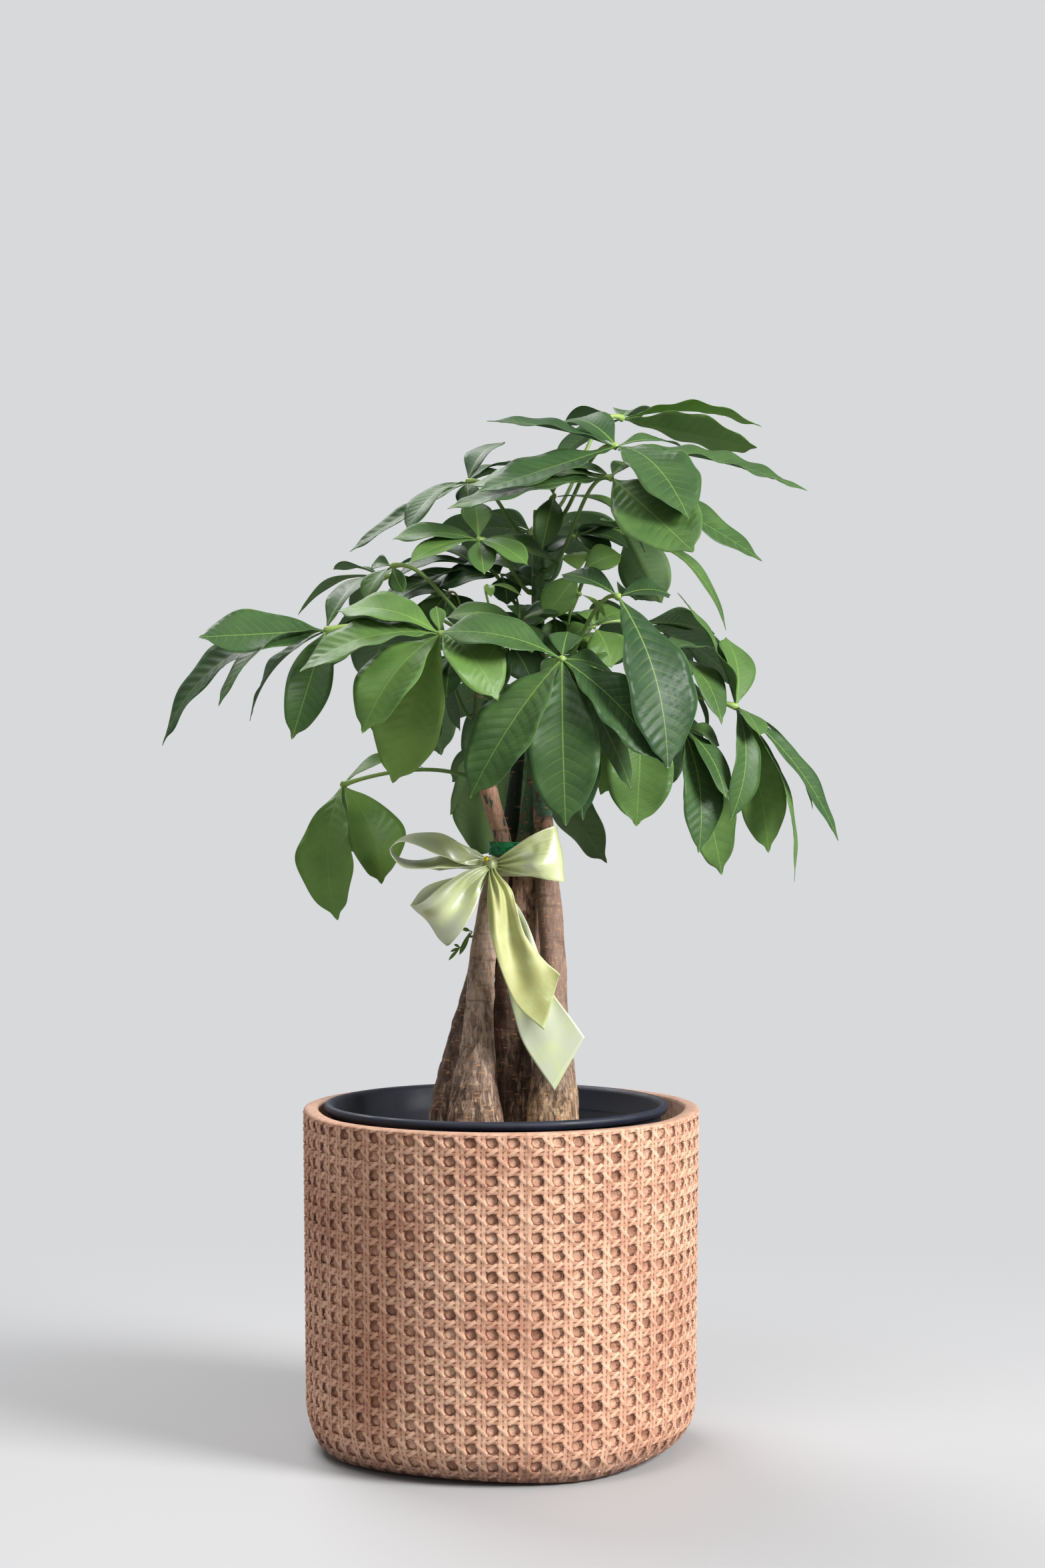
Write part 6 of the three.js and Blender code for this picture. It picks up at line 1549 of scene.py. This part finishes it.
# %% Small inner leaves
# Each row is trunk, stalk height, hub, face, tone and leaflets. The tones are raised on leaves deep in the
# crown's shade, which is painted light.
INNER_LEAVES = [
    ("trunk_centre", 536, (50, -30, 558), (0, -0.8, 0.5), 0.85,
     [(-22, -8, -29, 23, 3), (27, 4, 12, 20, 4), (-4, 10, 14, 17, 3), (16, 18, -4, 18, 3)]),
    ("trunk_centre", 528, (0, 14, 560), (0, -0.5, 0.85), 0.35,
     [(-40, -12, -8, 26, 4), (22, -10, -7, 26, 4), (-12, 20, 14, 20, 3), (-30, 12, 12, 22, 4),
      (4, -16, -20, 20, 3)]),
    ("trunk_front_left", 500, (-34, 16, 549), (-0.1, -0.6, 0.8), 0.42,
     [(-16, -8, -28, 24, 4), (-40, 4, -4, 26, 5), (12, -10, -24, 22, 4), (-10, 18, 12, 20, 3)]),
    ("trunk_centre", 500, (12, -34, 527), (0, -0.5, 0.85), 0.42,
     [(-46, -10, 2, 24, 5), (-26, -16, -14, 22, 4), (8, -10, -20, 20, 3), (28, -2, 8, 20, 4),
      (0, 14, 12, 16, 3)]),
    ("trunk_right", 492, (60, -24, 524), (0, -0.6, 0.8), 0.62,
     [(-17, -10, -8, 17, 3), (10, -12, -26, 27, 4), (20, 6, 10, 20, 4), (-6, 12, 12, 16, 3)]),
    ("trunk_centre", 556, (48, 12, 585), (0.1, -0.4, 0.9), 0.35,
     [(34, -10, -8, 24, 5), (20, -20, -16, 22, 4), (-20, -14, -12, 20, 3), (8, 16, 8, 18, 3)]),
    ("trunk_right", 470, (44, -34, 502), (0, -0.5, 0.85), 0.5,
     [(-18, -14, -10, 18, 3), (6, -14, -22, 22, 4), (24, -4, 4, 20, 3)]),
    ("trunk_front_left", 486, (-30, -34, 505), (-0.1, -0.6, 0.8), 0.42,
     [(-22, -12, -18, 22, 4), (18, -12, -12, 20, 4), (-4, -14, -26, 20, 4), (-14, 10, 12, 16, 3)]),
    ("trunk_centre", 470, (36, 26, 508), (0.1, -0.4, 0.9), 0.45,
     [(30, -10, -14, 24, 5), (-26, -10, -10, 22, 4), (10, -18, -26, 24, 4), (20, 20, 0, 22, 4)]),
    ("trunk_centre", 480, (6, -6, 514), (-0.1, -0.7, 0.7), 0.45,
     [(-26, -8, -12, 24, 4), (14, -10, -24, 25, 4), (26, -6, 6, 22, 4), (-14, -6, -32, 26, 4),
      (-6, 6, 22, 22, 4)]),
    ("trunk_right", 500, (34, -8, 532), (0.1, -0.6, 0.8), 0.5,
     [(-24, -8, -6, 22, 4), (22, -8, -12, 22, 4), (2, -12, -26, 24, 4), (10, 8, 16, 20, 4)]),
    ("trunk_back", 478, (-20, 40, 520), (-0.1, -0.3, 0.95), 0.4,
     [(-34, -6, -12, 24, 5), (-10, -16, -28, 24, 4), (20, -8, -16, 22, 4), (-14, 24, 0, 22, 4)]),
]
INNER_SLIM = 0.55

inner = Heap()
for trunk_name, at, hub, face, tone, leaflets in INNER_LEAVES:
    hub, face = np.array(hub, float), unit(face)
    route = stalk_route(trunk_name, at, hub, None, INNER_SLIM)
    stalk_skin(inner, route, stalk_radii(len(route), INNER_SLIM), tone)
    for leaflet in leaflets:
        offset = np.array(leaflet[:3], float)
        own_tone = tone + growth.uniform(-0.12, 0.12)
        lay = (offset, *blade_frame(offset, face))
        leaflet_skin(inner, hub, leaflet[3], leaflet[4], lay, own_tone, growth)
inner.piece("inner_leaves", [upper, under, stem], "leaf", replaces=False)

# %% [markdown]
# The young shoot low on the front left trunk is two thread-thin twigs with a few small blades. It reuses
# the leaflet and the tube, because it grows the same way at a smaller size.

# %% Young shoot
SHOOT_ROOT_Z = 327
SHOOT_TWIG_RADIUS, SHOOT_TIP_RADIUS = 0.7, 0.35
SHOOT_FACE = (0.1, -0.9, 0.4)
SHOOT_TONE, TWIG_TONE = 0.7, 0.3
SHOOT_FORK = (-19.5, -14, 330.5)
SHOOT_END = (-26, -14, 319.8)
SHOOT_BLADES = [
    (SHOOT_FORK, (-5.5, -1, 1.4), 2.6, 0.4), (SHOOT_FORK, (-7.2, -3, -15.5), 3.2, 0.8),
    (SHOOT_END, (-4, 1, 2.2), 1.8, 0.3), (SHOOT_END, (-6.4, 0, -2.6), 1.8, 0.4),
    (SHOOT_END, (-7.6, -1, -8.2), 2, 0.4),
]

shoot = Heap()
middle, radius = trunk_at("trunk_front_left", SHOOT_ROOT_Z)
shoot_root = middle - [radius * (1 + TRUNK_LOBES) - 0.6, 0, 0]
for end in (SHOOT_FORK, SHOOT_END):
    route = flowing([shoot_root, shoot_root - [2.6, 0, 0], (shoot_root + end) / 2 + [0, 0, 1], end], 6)
    stalk_skin(shoot, route, np.linspace(SHOOT_TWIG_RADIUS, SHOOT_TIP_RADIUS, len(route)), TWIG_TONE)
for base, tip, width, arch in SHOOT_BLADES:
    tip = np.array(tip, float)
    lay = (tip, *blade_frame(tip, unit(SHOOT_FACE)))
    leaflet_skin(shoot, np.array(base), width, arch, lay, SHOOT_TONE, growth, from_hub=False)
shoot.piece("young_shoot", [upper, under, stem], "young_leaf")

# %% [markdown]
# ## Floor, air and light
# The plant stands on a plain pale floor that runs on until it can't be told from the air behind it: far
# out, its finish fades into the same light grey that the world shines with. So no horizon cuts through
# the leaves from any side. One large soft light stands at the front right, as in the photograph, a weaker
# one, high in front, fills the left, and a third from behind lights the rims of the leaves.

# %% Floor and world
AIR = "#D8D9DB"
AIR_LIGHT = 0.45
FLOOR_RADIUS, FLOOR_SIDES = 9.0, 96
FADE_FROM, FADE_TO = 0.22, 1.1


def air_strength(tree):
    """Full where the camera sees the air, and weaker where the air lights the plant."""
    seen = add(tree, "LightPath").outputs["Is Camera Ray"]
    return add(tree, "MapRange", {"Value": seen, "To Min": AIR_LIGHT, "To Max": 1.0})


world = bpy.data.worlds.new("studio_air")
bpy.context.scene.world = world
world.use_nodes = True
tree = world.node_tree
feed(tree, tree.nodes["Background"], {"Color": AIR, "Strength": air_strength(tree)})

ground, tree, shader = material("painted_board_matt", Base_Color="#B2B2B3", Roughness=0.6)
place = add(tree, "TexCoord").outputs["Object"]
away = add(tree, "VectorMath", {0: place}, operation="LENGTH").outputs["Value"]
fade = add(tree, "MapRange", {"Value": away, "From Min": FADE_FROM, "From Max": FADE_TO},
           interpolation_type="SMOOTHSTEP")
air = add(tree, "Emission", {"Color": AIR, "Strength": air_strength(tree)})
blend = add(tree, "MixShader", {0: fade, 1: shader, 2: air})
feed(tree, tree.nodes["Material Output"], {"Surface": blend})

disc = bpy.data.meshes.new("floor")
edge = [(FLOOR_RADIUS * math.cos(a), FLOOR_RADIUS * math.sin(a), 0) for a in around(FLOOR_SIDES)]
disc.from_pydata(edge, [], [list(range(FLOOR_SIDES))])
disc.materials.append(ground)
floor = bpy.data.objects.new("floor", disc)
bpy.context.scene.collection.objects.link(floor)
print("the floor is", 2 * FLOOR_RADIUS, "m across")

# %% Lights
LIGHTS = {
    "key": ((2.4, -1.5, 1.8), 1.3, 170),
    "fill": ((-0.55, -1.3, 3.1), 1.6, 30),
    "rim": ((-0.9, 1.5, 2.4), 1.6, 52),
}
AIM = Vector((0, 0, 0.38))
for name, (spot, size, power) in LIGHTS.items():
    glow = bpy.data.lights.new(name, "AREA")
    glow.shape = "DISK"
    glow.size = size
    glow.energy = power
    lamp = bpy.data.objects.new(name, glow)
    lamp.location = spot
    lamp.rotation_euler = (AIM - Vector(spot)).to_track_quat("-Z", "Y").to_euler()
    bpy.context.scene.collection.objects.link(lamp)
bpy.context.scene.view_settings.view_transform = "Standard"
print(len(LIGHTS), "lights")
